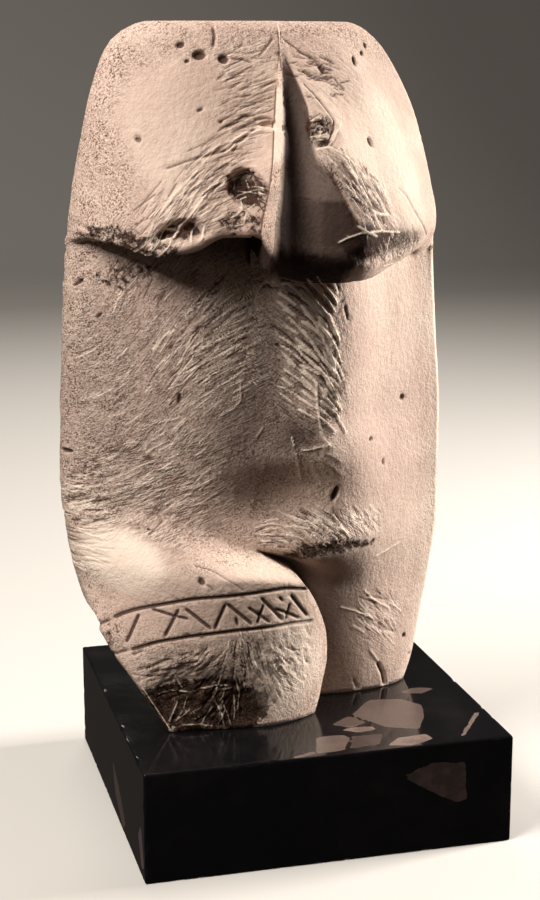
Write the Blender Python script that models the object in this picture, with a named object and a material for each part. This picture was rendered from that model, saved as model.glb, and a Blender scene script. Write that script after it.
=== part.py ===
"""Carved stone female torso standing on a square block of polished dark stone.

Metres, +Z up. The carved front faces -Y and +X is to the viewer's right. The origin is the middle
of the plinth's underside. The torso's carving is laid out in units of a 370th of the torso's height,
so one unit is a millimetre at the real size: x across, z above the torso's base, and a "front" value
that says how far the surface stands forward of the plane through the plinth's middle.
"""
import bmesh
import bpy
import numpy as np

PLINTH_WIDTH = 0.200
PLINTH_DEPTH = 0.200
PLINTH_HEIGHT = 0.060
PLINTH_BEVEL = 0.0010
TORSO_HEIGHT = 0.370
REST_GAP = 0.0003  # clearance between the two stones
GROOVE_WIDTH = 0.0024  # incised lines of the band on the thigh
GROOVE_DEPTH = 0.0014
TORSO_TRIANGLES = 7600  # faces kept on the torso before the band is cut
LEFT_COLUMNS, STEP_COLUMNS, RIGHT_COLUMNS = 34, 6, 32
ROWS = (24, 9, 42, 12, 34, 5)  # lines of the grid below, at and above the groin and the breasts' edges
CLOSER = 0.6  # how much the columns crowd towards the outline

TOP = 370.0  # the torso's height in its own units
UNIT = TORSO_HEIGHT / TOP
TOP_ROUNDING = 5.0
WALL = 0.7  # half the slant of the step that runs down the seam
LEFT_UNDER = 8.0  # height of the hollow under each breast's edge
RIGHT_UNDER = 11.0
LEFT_LIFT = 14.0  # how far the skin rises behind each breast's edge
RIGHT_LIFT = 24.0
BODY_POWER = 3.0  # how square the trunk's section is
CHEST_POWER = 3.4


def smooth(t):
    t = np.clip(t, 0.0, 1.0)
    return t * t * (3.0 - 2.0 * t)


def ramp(value, start, end):
    return smooth((value - start) / (end - start))


def mix(a, b, share):
    return a + (b - a) * share


def hill(distance, reach):
    return np.exp(-((distance / reach) ** 2))


def curve(value, *points):
    """A smooth line through a few points, without overshoot, and level beyond its ends."""
    at, height = np.array(points, float).T
    step = np.diff(at)
    slope = np.diff(height) / step
    tangent = np.zeros(len(at))
    same_way = slope[:-1] * slope[1:] > 0
    a, b = 2 * step[1:] + step[:-1], step[1:] + 2 * step[:-1]
    with np.errstate(divide="ignore", invalid="ignore"):
        mean = (a + b) / (a / slope[:-1] + b / slope[1:])
    tangent[1:-1] = np.where(same_way, mean, 0.0)
    tangent[0], tangent[-1] = slope[0], slope[-1]
    value = np.clip(value, at[0], at[-1])
    i = np.clip(np.searchsorted(at, value, side="right") - 1, 0, len(step) - 1)
    t = (value - at[i]) / step[i]
    return (
        height[i] * (1 + 2 * t) * (1 - t) ** 2
        + tangent[i] * step[i] * t * (1 - t) ** 2
        + height[i + 1] * t**2 * (3 - 2 * t)
        + tangent[i + 1] * step[i] * t**2 * (t - 1)
    )


# Outline and leading lines of the carving

def left_side(z):
    return curve(
        z, (0, -76), (18, -88), (30, -95), (42, -103.5), (62, -112.5), (90, -119), (130, -122.8),
        (165, -122), (210, -120), (255, -116.5), (300, -110.5), (335, -102.5), (352, -96.5),
        (362, -90), (368, -80), (370, -74),
    )


def right_side(z):
    return curve(
        z, (0, 73), (10, 78), (30, 84), (60, 92), (100, 97.5), (150, 97.5), (200, 94.5),
        (250, 91), (290, 84.5), (320, 76), (345, 63.5), (360, 52.5), (368, 41), (370, 35),
    )


def seam(z):
    """Right of this line the chest stands forward as the prow; left of it the left thigh does."""
    return curve(
        z, (0, 8), (10, 12), (30, 16.5), (42, 16), (54, 12), (70, 4), (78, -2), (86, -14), (94, -24),
        (105, -26), (170, -15), (245, -26), (265, -26), (286, -22), (300, -18.5), (321, -14.4),
        (341, -11.5), (362, -9.2), (370, -9),
    )


def left_breast_edge(x):
    return curve(x, (-118, 264), (-98, 259), (-77, 254), (-60, 257), (-44, 263.5), (-30, 263), (-20, 260))


def right_breast_edge(x):
    return curve(x, (-26, 248), (-18, 243), (6, 239), (34, 240), (55, 244), (72, 250), (90, 259))


def groin_line(x):
    return curve(
        x, (-118, 104), (-85, 101), (-56, 97), (-36, 94.5), (-18, 92), (0, 87.5), (11, 85.5), (22, 88),
        (34, 91), (50, 93), (90, 98),
    )


# Front surface, one function for each carved mass

def belly(x, z):
    ridge = curve(z, (95, 28), (146, 22), (163, 17), (180, 19), (236, 18), (255, 16))
    across = x - (ridge - 21) * hill(x - 21, 45)
    front = curve(
        across, (-125, 2), (-112, 13), (-95, 22), (-72, 29.5), (-48, 33.5), (-20, 33), (0, 33.5),
        (17, 36.5), (25, 35), (60, 10), (98, -17),
    )
    worn = curve(across, (0, 33.5), (15, 33), (30, 28.5), (60, 12), (98, -17))
    front = mix(np.where(across > 0, worn, front), front, ramp(z, 105, 145))
    front = front + 3.0 * hill(z - 150, 50) * ramp(30 - x, 0, 30) - 5.0 * ramp(z, 205, 250)
    front = front - 2.5 * hill(x + 14, 13) * ramp(z, 140, 190)
    hollow = np.exp(-(((x + 8) / 30) ** 2) - ((z - 120) / 18) ** 2)
    return front - 8.5 * hollow * (1 - ramp(z, 132, 149))


def left_chest(x, z):
    down = ((TOP - z) / 113.0).clip(0, 1.15) ** 0.95
    top = curve(x, (-110, 4), (-60, 17), (-10, 23))
    bottom = curve(x, (-118, 20), (-107, 35), (-90, 50), (-60, 59), (-25, 58))
    bank = 8.0 * hill(x - seam(z), 9.0) * hill(z - 290, 22)
    return mix(top, bottom, down) + bank


def right_chest(x, z):
    ridge_front = curve(
        z, (240, 82), (254, 82), (265, 80), (277, 76.5), (288, 71.5), (300, 64), (321, 51),
        (341, 37), (362, 25), (370, 21),
    )
    crest_front = curve(z, (240, 74), (262, 75), (280, 70), (300, 61), (330, 43), (352, 29), (370, 20))
    flank_front = curve(z, (240, 44), (262, 48), (290, 45), (315, 37), (350, 26), (370, 18))
    crest_x = curve(z, (245, 24), (280, 17), (306, 9), (335, 0), (352, -3))
    flank_x = curve(z, (245, 56), (267, 53), (290, 44), (326, 34), (351, 27))
    edge = seam(z)
    wide = crest_x - edge
    scoop = ridge_front + (crest_front - ridge_front) * ramp(x, edge, crest_x)
    channel = hill(x - edge - 0.42 * wide, 0.36 * wide) * ramp(352 - z, 0, 50)
    channel = channel * mix(0.5, 1.0, ramp(z, 240, 266))
    front = mix(scoop - 12.0 * channel, flank_front, ramp(x, crest_x, flank_x))
    beyond = 0.5 * (x - flank_x + np.hypot(x - flank_x, 11.0))
    return front - 0.62 * beyond - 0.0065 * beyond**2


def left_thigh(x, z):
    front = curve(
        x, (-122, 14), (-110, 33), (-101, 42), (-90, 49), (-71, 55), (-45, 58), (-25, 57), (-8, 53), (5, 46),
        (15, 36),
    )
    front = front - 3.5 * ramp(60 - z, 0, 60)
    return front + 14.0 * ramp(-x, 74, 104) * ramp(58 - z, 0, 40)


def right_thigh(x, z):
    foot = curve(x, (0, 13), (21, 15.5), (40, 16.5), (56, 15.5), (68, 12), (77, 6), (85, -1))
    upper = curve(x, (0, 12), (12, 17), (24, 18.5), (40, 16.5), (56, 11), (70, 4), (84, -5), (98, -17))
    return mix(foot, upper, ramp(z, 0, 60))


def under(distance, reach, lip, rounding):
    """Share of a hanging mass: a hollow rising to the lip at 0, then a rounding up to the full depth."""
    hollow = lip * (1 + distance / reach).clip(0, 1) ** 1.1
    over = 1 - (1 - lip) * (1 - distance / rounding).clip(0, 1) ** 2
    return np.where(distance < 0, hollow, over)


def undercut(x, z):
    """How far the skin under the breasts is lifted, so that it runs up and back behind their edges."""
    def lift(below, reach, height):
        return height * ramp(below, 0, reach) * (1 - ramp(below, reach, reach + 60))

    left = lift(left_breast_edge(x) - z, LEFT_UNDER, LEFT_LIFT)
    right = lift(right_breast_edge(x) - z, RIGHT_UNDER, RIGHT_LIFT)
    ends = ramp(x, -118, -92) * (1 - ramp(x, 55, 84))
    return mix(left, right, ramp(x - seam(z), -WALL, WALL)) * ends


def front_of(x, z):
    """How far forward the carved front stands at x, z, before the sides are rounded off."""
    body = belly(x, z)
    left = mix(body, left_chest(x, z), under(z - left_breast_edge(x), LEFT_UNDER, 0.9, 5.0))
    right = mix(body, right_chest(x, z), under(z - right_breast_edge(x), RIGHT_UNDER, 0.6, 20.0))
    shelf = groin_line(x) - ramp(x, -80, -20) * 6
    rise = mix(18.0, 5.0, ramp(x, -75, -25))
    thigh_share = 1 - ramp(z, shelf - rise * 0.9, shelf + rise)
    left = mix(left, left_thigh(x, z), thigh_share)
    fall = mix(9.0, 32.0, ramp(x, -5, 45))
    leg_share = 1 - ramp(z, groin_line(x) - fall, groin_line(x) + 1)
    right = mix(right, right_thigh(x, z), leg_share)
    front = mix(left, right, ramp(x - seam(z), -WALL, WALL))
    return front - sum(depth * hollow for depth, hollow in hollows(x, z))


def hollows(x, z):
    """Breaks and gouged pits in the front, as a depth and a share of it."""
    def pit(at_x, at_z, wide, high, turn=0.0):
        c, s = np.cos(np.radians(turn)), np.sin(np.radians(turn))
        along, up = (x - at_x) * c + (z - at_z) * s, (z - at_z) * c - (x - at_x) * s
        return 1 - ramp(np.hypot(along / wide, up / high), 0.55, 1.15)

    yield 6.0, pit(-33, 288.5, 9, 9)
    yield 4.0, pit(-67, 267, 13, 6, 10)
    yield 3.5, pit(8.5, 313, 8, 9)
    yield 3.0, pit(-18, 318, 5, 2.5)
    yield 2.0, pit(42, 255, 28, 8, 2)
    yield 3.2, pit(-58, 15, 34, 23, -8)


# Rims where the front meets the back

def left_rim_front(z):
    return curve(z, (0, 48), (20, 44), (40, 35), (52, 28), (78, -6), (95, -10), (260, -10), (330, -2))


def right_rim_front(z):
    return curve(z, (0, -2), (60, -15), (110, -17), (235, -17), (262, -12), (310, -7), (370, -2))


def back_of(x, z):
    back = curve(
        z, (0, 36), (40, 41), (85, 45), (120, 41), (180, 34), (235, 33), (300, 34), (345, 29), (370, 24),
    )
    back = back - curve(np.abs(x + 12), (0, 0), (40, 1), (80, 6), (115, 12))
    cleft = 6.0 * hill(x + 10, 7) * ramp(112 - z, 0, 35)
    spine = 2.5 * hill(x + 12, 10) * ramp(z, 130, 170) * ramp(350 - z, 0, 40)
    return back - cleft - spine


def rounded(across, power):
    return (1 - np.abs(across).clip(0, 1) ** power) ** (1 / power)


def surface(x, z, on_back):
    """Where the torso's skin lies, in y, at x and z on its front or its back."""
    low, high = left_side(z), right_side(z)
    middle, half = 0.5 * (low + high), 0.5 * (high - low)
    across = ((x - middle) / half).clip(-1, 1)
    power = mix(BODY_POWER, CHEST_POWER, ramp(z, 240, 270))
    rim = np.where(across < 0, left_rim_front(z), right_rim_front(z))
    share = rounded(across, power)
    top = (z - (TOP - TOP_ROUNDING)).clip(0, TOP_ROUNDING)
    inset = TOP_ROUNDING - np.sqrt(TOP_ROUNDING**2 - top**2)
    front = rim + (front_of(x, z) - inset - rim) * share
    slant = ((x - low) / 34.0).clip(0, 1) ** 0.9
    broken = (1 - ramp(z, 50, 80)) * (across < 0)
    back = -rim + (back_of(x, z) - inset + rim) * mix(share, np.minimum(share, slant), broken)
    return np.where(on_back, back, -front)


# Band of incised zigzags across the left thigh

def band_top(x):
    return curve(x, (-104, 60.5), (-94, 66.5), (-79, 71.5), (-60, 75.3), (-36, 76.5), (-16, 77.3), (1, 74))


def band_bottom(x):
    return curve(x, (-96, 46), (-80, 51.7), (-60, 55.3), (-35, 57), (-12, 57), (5, 55))


def band_strokes():
    """Each cut as points x, z and its share of the full width. 0 is the band's lower line and 1 its upper."""
    def line(edge, start, end):
        return [(x, float(edge(np.array(x)))) for x in np.linspace(start, end, 22)]

    yield line(band_top, -103.0, 0.5), 1.0
    yield line(band_bottom, -95.5, 4.5), 1.0
    for start, low, end, high, width in (
        (-97.5, 0.18, -90.0, 0.88, 0.7),
        (-84.5, 0.94, -72.5, 0.62, 0.5),
        (-72.5, 0.62, -65.5, 0.48, 0.5),
        (-78.5, 0.10, -70.5, 0.82, 0.75),
        (-68.0, 0.80, -54.0, 0.12, 1.0),
        (-53.0, 0.10, -46.5, 0.82, 0.8),
        (-46.5, 0.82, -32.0, 0.12, 1.0),
        (-41.5, 0.42, -40.3, 0.12, 0.7),
        (-35.0, 0.64, -22.0, 0.12, 0.8),
        (-30.0, 0.12, -26.0, 0.68, 0.8),
        (-27.8, 0.87, -14.8, 0.12, 1.1),
        (-20.0, 0.50, -4.8, 0.12, 0.6),
        (-13.5, 0.12, -10.7, 0.62, 0.8),
        (-17.8, 0.82, -14.7, 0.64, 0.6),
        (-10.7, 0.84, 1.0, 0.14, 1.1),
    ):
        x = np.linspace(start, end, 5)
        z = mix(band_bottom(x), band_top(x), np.linspace(low, high, 5))
        yield list(zip(x, z)), width


# Mesh of the torso

def spaced(count):
    """Numbers from 0 to 1 that come closer together towards 1."""
    t = np.linspace(0, 1, count, endpoint=False)
    return CLOSER * (1 - (1 - t) ** 2) + (1 - CLOSER) * t


def column_table():
    """(zone, share) of each upright line of the grid: left of the seam, the step on it, right of it."""
    left = [(0, 1 - t) for t in spaced(LEFT_COLUMNS)][::-1]
    left = [(0, 0.0)] + left[:-1]
    step = [(1, t) for t in np.linspace(0, 1, STEP_COLUMNS, endpoint=False)]
    right = [(2, t) for t in spaced(RIGHT_COLUMNS)] + [(2, 1.0)]
    return np.array(left + step + right)


def row_table():
    """(zone, share) of each level line of the grid, from the base up to the flat cut."""
    rows = [(zone, t) for zone, n in enumerate(ROWS) for t in np.linspace(0, 1, n, endpoint=False)]
    return np.array(rows + [(len(ROWS) - 1, 1.0)])


def grid_places(columns, rows):
    """x and z of every crossing. The lines bend to follow the seam, the groin and the breasts' edges."""
    zone_c, share_c = columns[:, 0].astype(int)[None, :], columns[:, 1][None, :]
    zone_r, share_r = rows[:, 0].astype(int)[:, None], rows[:, 1][:, None]
    row, column = np.indices((len(rows), len(columns)))

    def between(marks, zone, share):
        marks = np.stack(marks)
        return mix(marks[zone, row, column], marks[zone + 1, row, column], share)

    x = np.zeros(row.shape)
    zero = np.zeros(row.shape)
    for _ in range(6):
        edge = mix(left_breast_edge(x), right_breast_edge(x), ramp(x - seam(255.0), -9, 9))
        groin = groin_line(x)
        levels = [zero, groin - 14, groin + 8, edge - 11, edge + 6, zero + TOP - TOP_ROUNDING, zero + TOP]
        z = between(levels, zone_r, share_r)
        line = seam(z)
        x = between([left_side(z), line - WALL, line + WALL, right_side(z)], zone_c, share_c)
    return x, z


def torso_mesh():
    columns, rows = column_table(), row_table()
    x, z = grid_places(columns, rows)
    height, width = x.shape
    front = np.stack([x, surface(x, z, False), z + undercut(x, z)], -1)
    back = np.stack([x, surface(x, z, True), z], -1)[:, 1:-1]
    places = np.concatenate([front.reshape(-1, 3), back.reshape(-1, 3)]) * UNIT
    ring = np.zeros((height, 2 * width - 2), int)
    ring[:, :width] = np.arange(height * width).reshape(height, width)
    behind = height * width + np.arange(height * (width - 2)).reshape(height, -1)
    ring[:, width:] = behind[:, ::-1]
    low, high = ring[:-1], ring[1:]
    sides = np.stack([low, np.roll(low, -1, 1), np.roll(high, -1, 1), high], -1).reshape(-1, 4)
    mesh = bpy.data.meshes.new("torso")
    mesh.from_pydata(places.tolist(), [], sides.tolist() + [ring[0][::-1].tolist(), ring[-1].tolist()])
    work = bmesh.new()
    work.from_mesh(mesh)
    bmesh.ops.triangulate(work, faces=work.faces[:])
    bmesh.ops.recalc_face_normals(work, faces=work.faces[:])
    work.to_mesh(mesh)
    work.free()
    return mesh


def groove_cutter(points, width):
    """A bar with a V below: the V's foot lies in the stone and its two upper edges stand clear of it."""
    x, z = np.array(points).T
    along = np.gradient(np.stack([x, z]), axis=1)
    along = along / np.hypot(*along)
    clear = 1.5
    depth = GROOVE_DEPTH / UNIT * (0.5 + 0.5 * width)
    reach = 0.5 * width * GROOVE_WIDTH / UNIT * (depth + clear) / depth
    rails = []
    for side, height in ((0.0, -depth), (1.0, clear), (-1.0, clear)):
        at_x, at_z = x - side * reach * along[1], z + side * reach * along[0]
        skin_x = np.minimum(at_x, seam(at_z) - WALL - 0.5)
        rails.append(np.stack([at_x, surface(skin_x, at_z, False) - height, at_z], -1))
    places = np.stack(rails, 1).reshape(-1, 3) * UNIT
    count = len(x)
    faces = [(0, 1, 2), (3 * count - 1, 3 * count - 2, 3 * count - 3)]
    for i in range(0, 3 * (count - 1), 3):
        faces += [(i + a, i + 3 + a, i + 3 + b, i + b) for a, b in ((0, 1), (1, 2), (2, 0))]
    mesh = bpy.data.meshes.new("groove cutter")
    mesh.from_pydata(places.tolist(), [], faces)
    work = bmesh.new()
    work.from_mesh(mesh)
    bmesh.ops.recalc_face_normals(work, faces=work.faces[:])
    work.to_mesh(mesh)
    work.free()
    return mesh


def stone(name, colour, roughness):
    material = bpy.data.materials.new(name)
    material.use_nodes = True
    shader = material.node_tree.nodes["Principled BSDF"]
    shader.inputs["Base Color"].default_value = (*colour, 1)
    shader.inputs["Roughness"].default_value = roughness
    shader.inputs["Metallic"].default_value = 0.0
    return material


def add(name, mesh, material):
    thing = bpy.data.objects.new(name, mesh)
    mesh.materials.append(material)
    bpy.context.scene.collection.objects.link(thing)
    return thing


def add_torso():
    torso = add("torso", torso_mesh(), stone("carved stone", (0.62, 0.53, 0.46), 0.85))
    torso.location.z = PLINTH_HEIGHT + REST_GAP
    fewer = torso.modifiers.new("fewer faces", "DECIMATE")
    fewer.ratio = min(1.0, TORSO_TRIANGLES / len(torso.data.polygons))
    for number, (points, width) in enumerate(band_strokes(), 1):
        cutter = bpy.data.objects.new(f"groove_{number}", groove_cutter(points, width))
        bpy.context.scene.collection.objects.link(cutter)
        cutter.location = torso.location
        cutter.hide_render = True
        cutter.display_type = "WIRE"
        cut = torso.modifiers.new(cutter.name, "BOOLEAN")
        cut.operation = "DIFFERENCE"
        cut.object = cutter
    torso.data.shade_smooth()
    return torso


def add_plinth():
    mesh = bpy.data.meshes.new("plinth")
    work = bmesh.new()
    bmesh.ops.create_cube(work, size=1.0)
    bmesh.ops.scale(work, vec=(PLINTH_WIDTH, PLINTH_DEPTH, PLINTH_HEIGHT), verts=work.verts)
    bmesh.ops.translate(work, vec=(0, 0, PLINTH_HEIGHT / 2), verts=work.verts)
    bmesh.ops.bevel(work, geom=work.edges[:], offset=PLINTH_BEVEL, segments=2, affect="EDGES", profile=0.5)
    work.to_mesh(mesh)
    work.free()
    return add("plinth", mesh, stone("polished stone", (0.012, 0.011, 0.012), 0.12))


for old in list(bpy.data.objects):
    bpy.data.objects.remove(old, do_unlink=True)
add_plinth()
add_torso()
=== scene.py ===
"""The looks of the carved stone torso and its polished plinth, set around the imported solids."""
from math import cos, radians, sin

import bmesh
import bpy
import numpy as np
from mathutils import Matrix, Vector


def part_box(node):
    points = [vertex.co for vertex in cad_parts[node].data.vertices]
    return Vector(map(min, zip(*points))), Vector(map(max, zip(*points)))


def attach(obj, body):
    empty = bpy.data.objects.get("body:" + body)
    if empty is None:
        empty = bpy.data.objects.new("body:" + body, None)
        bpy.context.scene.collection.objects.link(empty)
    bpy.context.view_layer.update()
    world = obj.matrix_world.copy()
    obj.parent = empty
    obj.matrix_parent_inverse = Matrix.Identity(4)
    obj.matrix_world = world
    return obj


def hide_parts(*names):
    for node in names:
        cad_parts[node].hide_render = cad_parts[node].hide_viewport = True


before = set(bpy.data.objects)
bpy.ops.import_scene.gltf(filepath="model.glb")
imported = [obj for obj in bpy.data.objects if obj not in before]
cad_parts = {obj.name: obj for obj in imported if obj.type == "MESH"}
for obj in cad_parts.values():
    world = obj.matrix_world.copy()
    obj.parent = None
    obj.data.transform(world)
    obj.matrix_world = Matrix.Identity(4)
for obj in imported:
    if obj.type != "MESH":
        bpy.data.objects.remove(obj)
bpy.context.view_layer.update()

TORSO_LOW, TORSO_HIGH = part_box("torso")
PLINTH_LOW, PLINTH_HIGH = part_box("plinth")
TOP = 370.0  # the torso's height in its own units
UNIT = (TORSO_HIGH.z - TORSO_LOW.z) / TOP  # a millimetre at the real size
MM = 0.001
LEFT_COLUMNS, STEP_COLUMNS, RIGHT_COLUMNS = 23, 7, 22
ROWS = (16, 6, 28, 8, 22, 3)  # lines of the grid below, at and above the groin and the breasts' edges
CLOSER = 0.3  # how much the columns crowd towards the outline
SETTLING_ROUNDS = 6  # the grid's lines bend in both directions, so x and z are found in turns
BASE_CAP_ROWS, TOP_CAP_ROWS = 1, 10
FIRST_REACH, SECOND_REACH = 0.6, 0.1  # how far past a stroke's edge the mesh is refined, once and again
RASTER_X, RASTER_Z = np.arange(-130.0, 110.0), np.arange(-2.0, 376.0)
TOP_ROUNDING = 5.0
WALL = 0.7  # half the slant of the step that runs down the seam
SEAM_GAP, SEAM_FADE = 0.2, 2.5  # how near to the step strokes lose their painted highlight and shade, and their relief
PROW_TOP = 340.0  # above it the strokes' painted highlight and shade cross the seam
LEFT_UNDER = 8.0  # height of the hollow under each breast's edge
RIGHT_UNDER = 11.0
LEFT_LIFT = 14.0  # how far the skin rises behind each breast's edge
RIGHT_LIFT = 24.0
BODY_POWER = 3.0  # how square the trunk's section is
CHEST_POWER = 3.4
FIELD_SEED, COMB_SEED = 7, 5
STROKE_BENDS = 6
GATHERED = 0.6  # 0.5 spreads a field's strokes evenly, 1 gathers them in its middle
ASTRAY, TANGLED_ASTRAY = 9, 45  # degrees by which strokes stray from the tool's way
RAW = 0.8  # the grain of raw faces
RASP_ANGLES = (52, 20, -38, -72)
RASP_SPREAD = 34.0  # how many degrees off its own angle each rasp layer fades out
PLINTH_STEP = 2.6 * MM
EDGE = 1.1 * MM  # rounding of the plinth's edges
CHIP = 0.9 * MM  # depth of the chips along them
CLOSE_LINES = EDGE * np.array([0.0, 0.25, 0.6, 1.0, 1.7, 2.8])  # from each edge, where the grid is finest
HAIR = 0.01 * MM  # vertices this near to a face lie on it
OUTSIDE = -9.0  # millimetres, for what is on no piece of other stone
LAMP_COLOUR = (1.0, 0.94, 0.87)
LAMPS = (  # name, azimuth and elevation in degrees, distance and size in metres, power in watts
    ("right light", 91, 14, 1.3, 0.30, 34),
    ("left light", -63, 45, 1.3, 0.60, 23.5),
    ("back light", 176, 40, 1.6, 0.8, 10),
)
LAMP_AIM = Vector((0.0, 0.0, 0.25))
FLOOR_HALF_WIDTH, FLOOR_FRONT, BEND_START, BEND_RADIUS, WALL_TOP = 6.0, -4.0, 2.0, 1.5, 5.0
SENSOR = 36.0
FOCAL_PIXELS, PHOTO_PIXELS = 1714, 900  # the focal length and the photo's longer side
CAMERA_AZIMUTH, CAMERA_ELEVATION = radians(-14.87), radians(12.93)
CAMERA_PLACE = (-0.2447, -0.893, 0.4125)


def smooth(t):
    t = np.clip(t, 0.0, 1.0)
    return t * t * (3.0 - 2.0 * t)


def ramp(value, start, end):
    return smooth((value - start) / (end - start))


def mix(a, b, share):
    return a + (b - a) * share


def hill(distance, reach):
    return np.exp(-((distance / reach) ** 2))


def curve(value, *points):
    """A smooth line through a few points, without overshoot, and level beyond its ends."""
    at, height = np.array(points, float).T
    step = np.diff(at)
    slope = np.diff(height) / step
    tangent = np.zeros(len(at))
    same_way = slope[:-1] * slope[1:] > 0
    a, b = 2 * step[1:] + step[:-1], step[1:] + 2 * step[:-1]
    with np.errstate(divide="ignore", invalid="ignore"):
        mean = (a + b) / (a / slope[:-1] + b / slope[1:])
    tangent[1:-1] = np.where(same_way, mean, 0.0)
    tangent[0], tangent[-1] = slope[0], slope[-1]
    value = np.clip(value, at[0], at[-1])
    i = np.clip(np.searchsorted(at, value, side="right") - 1, 0, len(step) - 1)
    t = (value - at[i]) / step[i]
    return (
        height[i] * (1 + 2 * t) * (1 - t) ** 2
        + tangent[i] * step[i] * t * (1 - t) ** 2
        + height[i + 1] * t**2 * (3 - 2 * t)
        + tangent[i + 1] * step[i] * t**2 * (t - 1)
    )


# Outline and leading lines of the carving

def left_side(z):
    return curve(
        z, (0, -76), (18, -88), (30, -95), (42, -103.5), (62, -112.5), (90, -119), (130, -122.8),
        (165, -122), (210, -120), (255, -116.5), (300, -110.5), (335, -102.5), (352, -96.5),
        (362, -90), (368, -80), (370, -74),
    )


def right_side(z):
    return curve(
        z, (0, 73), (10, 78), (30, 84), (60, 92), (100, 97.5), (150, 97.5), (200, 94.5),
        (250, 91), (290, 84.5), (320, 76), (345, 63.5), (360, 52.5), (368, 41), (370, 35),
    )


def seam(z):
    """Right of this line the chest stands forward as the prow; left of it the left thigh does."""
    return curve(
        z, (0, 8), (10, 12), (30, 16.5), (42, 16), (54, 12), (70, 4), (78, -2), (86, -14), (94, -24),
        (105, -26), (170, -15), (245, -26), (265, -26), (286, -22), (300, -18.5), (321, -14.4),
        (341, -11.5), (362, -9.2), (370, -9),
    )


def left_breast_edge(x):
    return curve(x, (-118, 264), (-98, 259), (-77, 254), (-60, 257), (-44, 263.5), (-30, 263), (-20, 260))


def right_breast_edge(x):
    return curve(x, (-26, 248), (-18, 243), (6, 239), (34, 240), (55, 244), (72, 250), (90, 259))


def groin_line(x):
    return curve(
        x, (-118, 104), (-85, 101), (-56, 97), (-36, 94.5), (-18, 92), (0, 87.5), (11, 85.5), (22, 88),
        (34, 91), (50, 93), (90, 98),
    )


# Front surface, one function for each carved mass

def belly(x, z):
    ridge = curve(z, (95, 28), (146, 22), (163, 17), (180, 19), (236, 18), (255, 16))
    across = x - (ridge - 21) * hill(x - 21, 45)
    front = curve(
        across, (-125, 2), (-112, 13), (-95, 22), (-72, 29.5), (-48, 33.5), (-20, 33), (0, 33.5),
        (17, 36.5), (25, 35), (60, 10), (98, -17),
    )
    worn = curve(across, (0, 33.5), (15, 33), (30, 28.5), (60, 12), (98, -17))
    front = mix(np.where(across > 0, worn, front), front, ramp(z, 105, 145))
    front = front + 3.0 * hill(z - 150, 50) * ramp(30 - x, 0, 30) - 5.0 * ramp(z, 205, 250)
    front = front - 2.5 * hill(x + 14, 13) * ramp(z, 140, 190)
    return front - 8.5 * hill(x + 8, 30) * hill(z - 120, 18) * (1 - ramp(z, 132, 149))


def left_chest(x, z):
    down = ((TOP - z) / 113.0).clip(0, 1.15) ** 0.95
    top = curve(x, (-110, 4), (-60, 17), (-10, 23))
    bottom = curve(x, (-118, 20), (-107, 35), (-90, 50), (-60, 59), (-25, 58))
    bank = 8.0 * hill(x - seam(z), 9.0) * hill(z - 290, 22)
    return mix(top, bottom, down) + bank


def right_chest(x, z):
    ridge_front = curve(
        z, (240, 82), (254, 82), (265, 80), (277, 76.5), (288, 71.5), (300, 64), (321, 51),
        (341, 37), (362, 25), (370, 21),
    )
    crest_front = curve(z, (240, 74), (262, 75), (280, 70), (300, 61), (330, 43), (352, 29), (370, 20))
    flank_front = curve(z, (240, 44), (262, 48), (290, 45), (315, 37), (350, 26), (370, 18))
    crest_x = curve(z, (245, 24), (280, 17), (306, 9), (335, 0), (352, -3))
    flank_x = curve(z, (245, 56), (267, 53), (290, 44), (326, 34), (351, 27))
    edge = seam(z)
    wide = crest_x - edge
    scoop = ridge_front + (crest_front - ridge_front) * ramp(x, edge, crest_x)
    channel = hill(x - edge - 0.42 * wide, 0.36 * wide) * ramp(352 - z, 0, 50)
    channel = channel * mix(0.5, 1.0, ramp(z, 240, 266))
    front = mix(scoop - 12.0 * channel, flank_front, ramp(x, crest_x, flank_x))
    beyond = 0.5 * (x - flank_x + np.hypot(x - flank_x, 11.0))
    return front - 0.62 * beyond - 0.0065 * beyond**2


def left_thigh(x, z):
    front = curve(
        x, (-122, 14), (-110, 33), (-101, 42), (-90, 49), (-71, 55), (-45, 58), (-25, 57), (-8, 53),
        (5, 46), (15, 36),
    )
    front = front - 3.5 * ramp(60 - z, 0, 60)
    return front + 14.0 * ramp(-x, 74, 104) * ramp(58 - z, 0, 40)


def right_thigh(x, z):
    foot = curve(x, (0, 13), (21, 15.5), (40, 16.5), (56, 15.5), (68, 12), (77, 6), (85, -1))
    upper = curve(x, (0, 12), (12, 17), (24, 18.5), (40, 16.5), (56, 11), (70, 4), (84, -5), (98, -17))
    return mix(foot, upper, ramp(z, 0, 60))


def under(distance, reach, lip, rounding):
    """Share of a hanging mass: a hollow rising to the lip at 0, then a rounding up to the full depth."""
    hollow = lip * (1 + distance / reach).clip(0, 1) ** 1.1
    over = 1 - (1 - lip) * (1 - distance / rounding).clip(0, 1) ** 2
    return np.where(distance < 0, hollow, over)


def undercut(x, z):
    """How far the skin under the breasts is lifted, so that it runs up and back behind their edges."""
    def lift(below, reach, height):
        return height * ramp(below, 0, reach) * (1 - ramp(below, reach, reach + 60))

    left = lift(left_breast_edge(x) - z, LEFT_UNDER, LEFT_LIFT)
    right = lift(right_breast_edge(x) - z, RIGHT_UNDER, RIGHT_LIFT)
    ends = ramp(x, -118, -92) * (1 - ramp(x, 55, 84))
    return mix(left, right, ramp(x - seam(z), -WALL, WALL)) * ends


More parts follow.
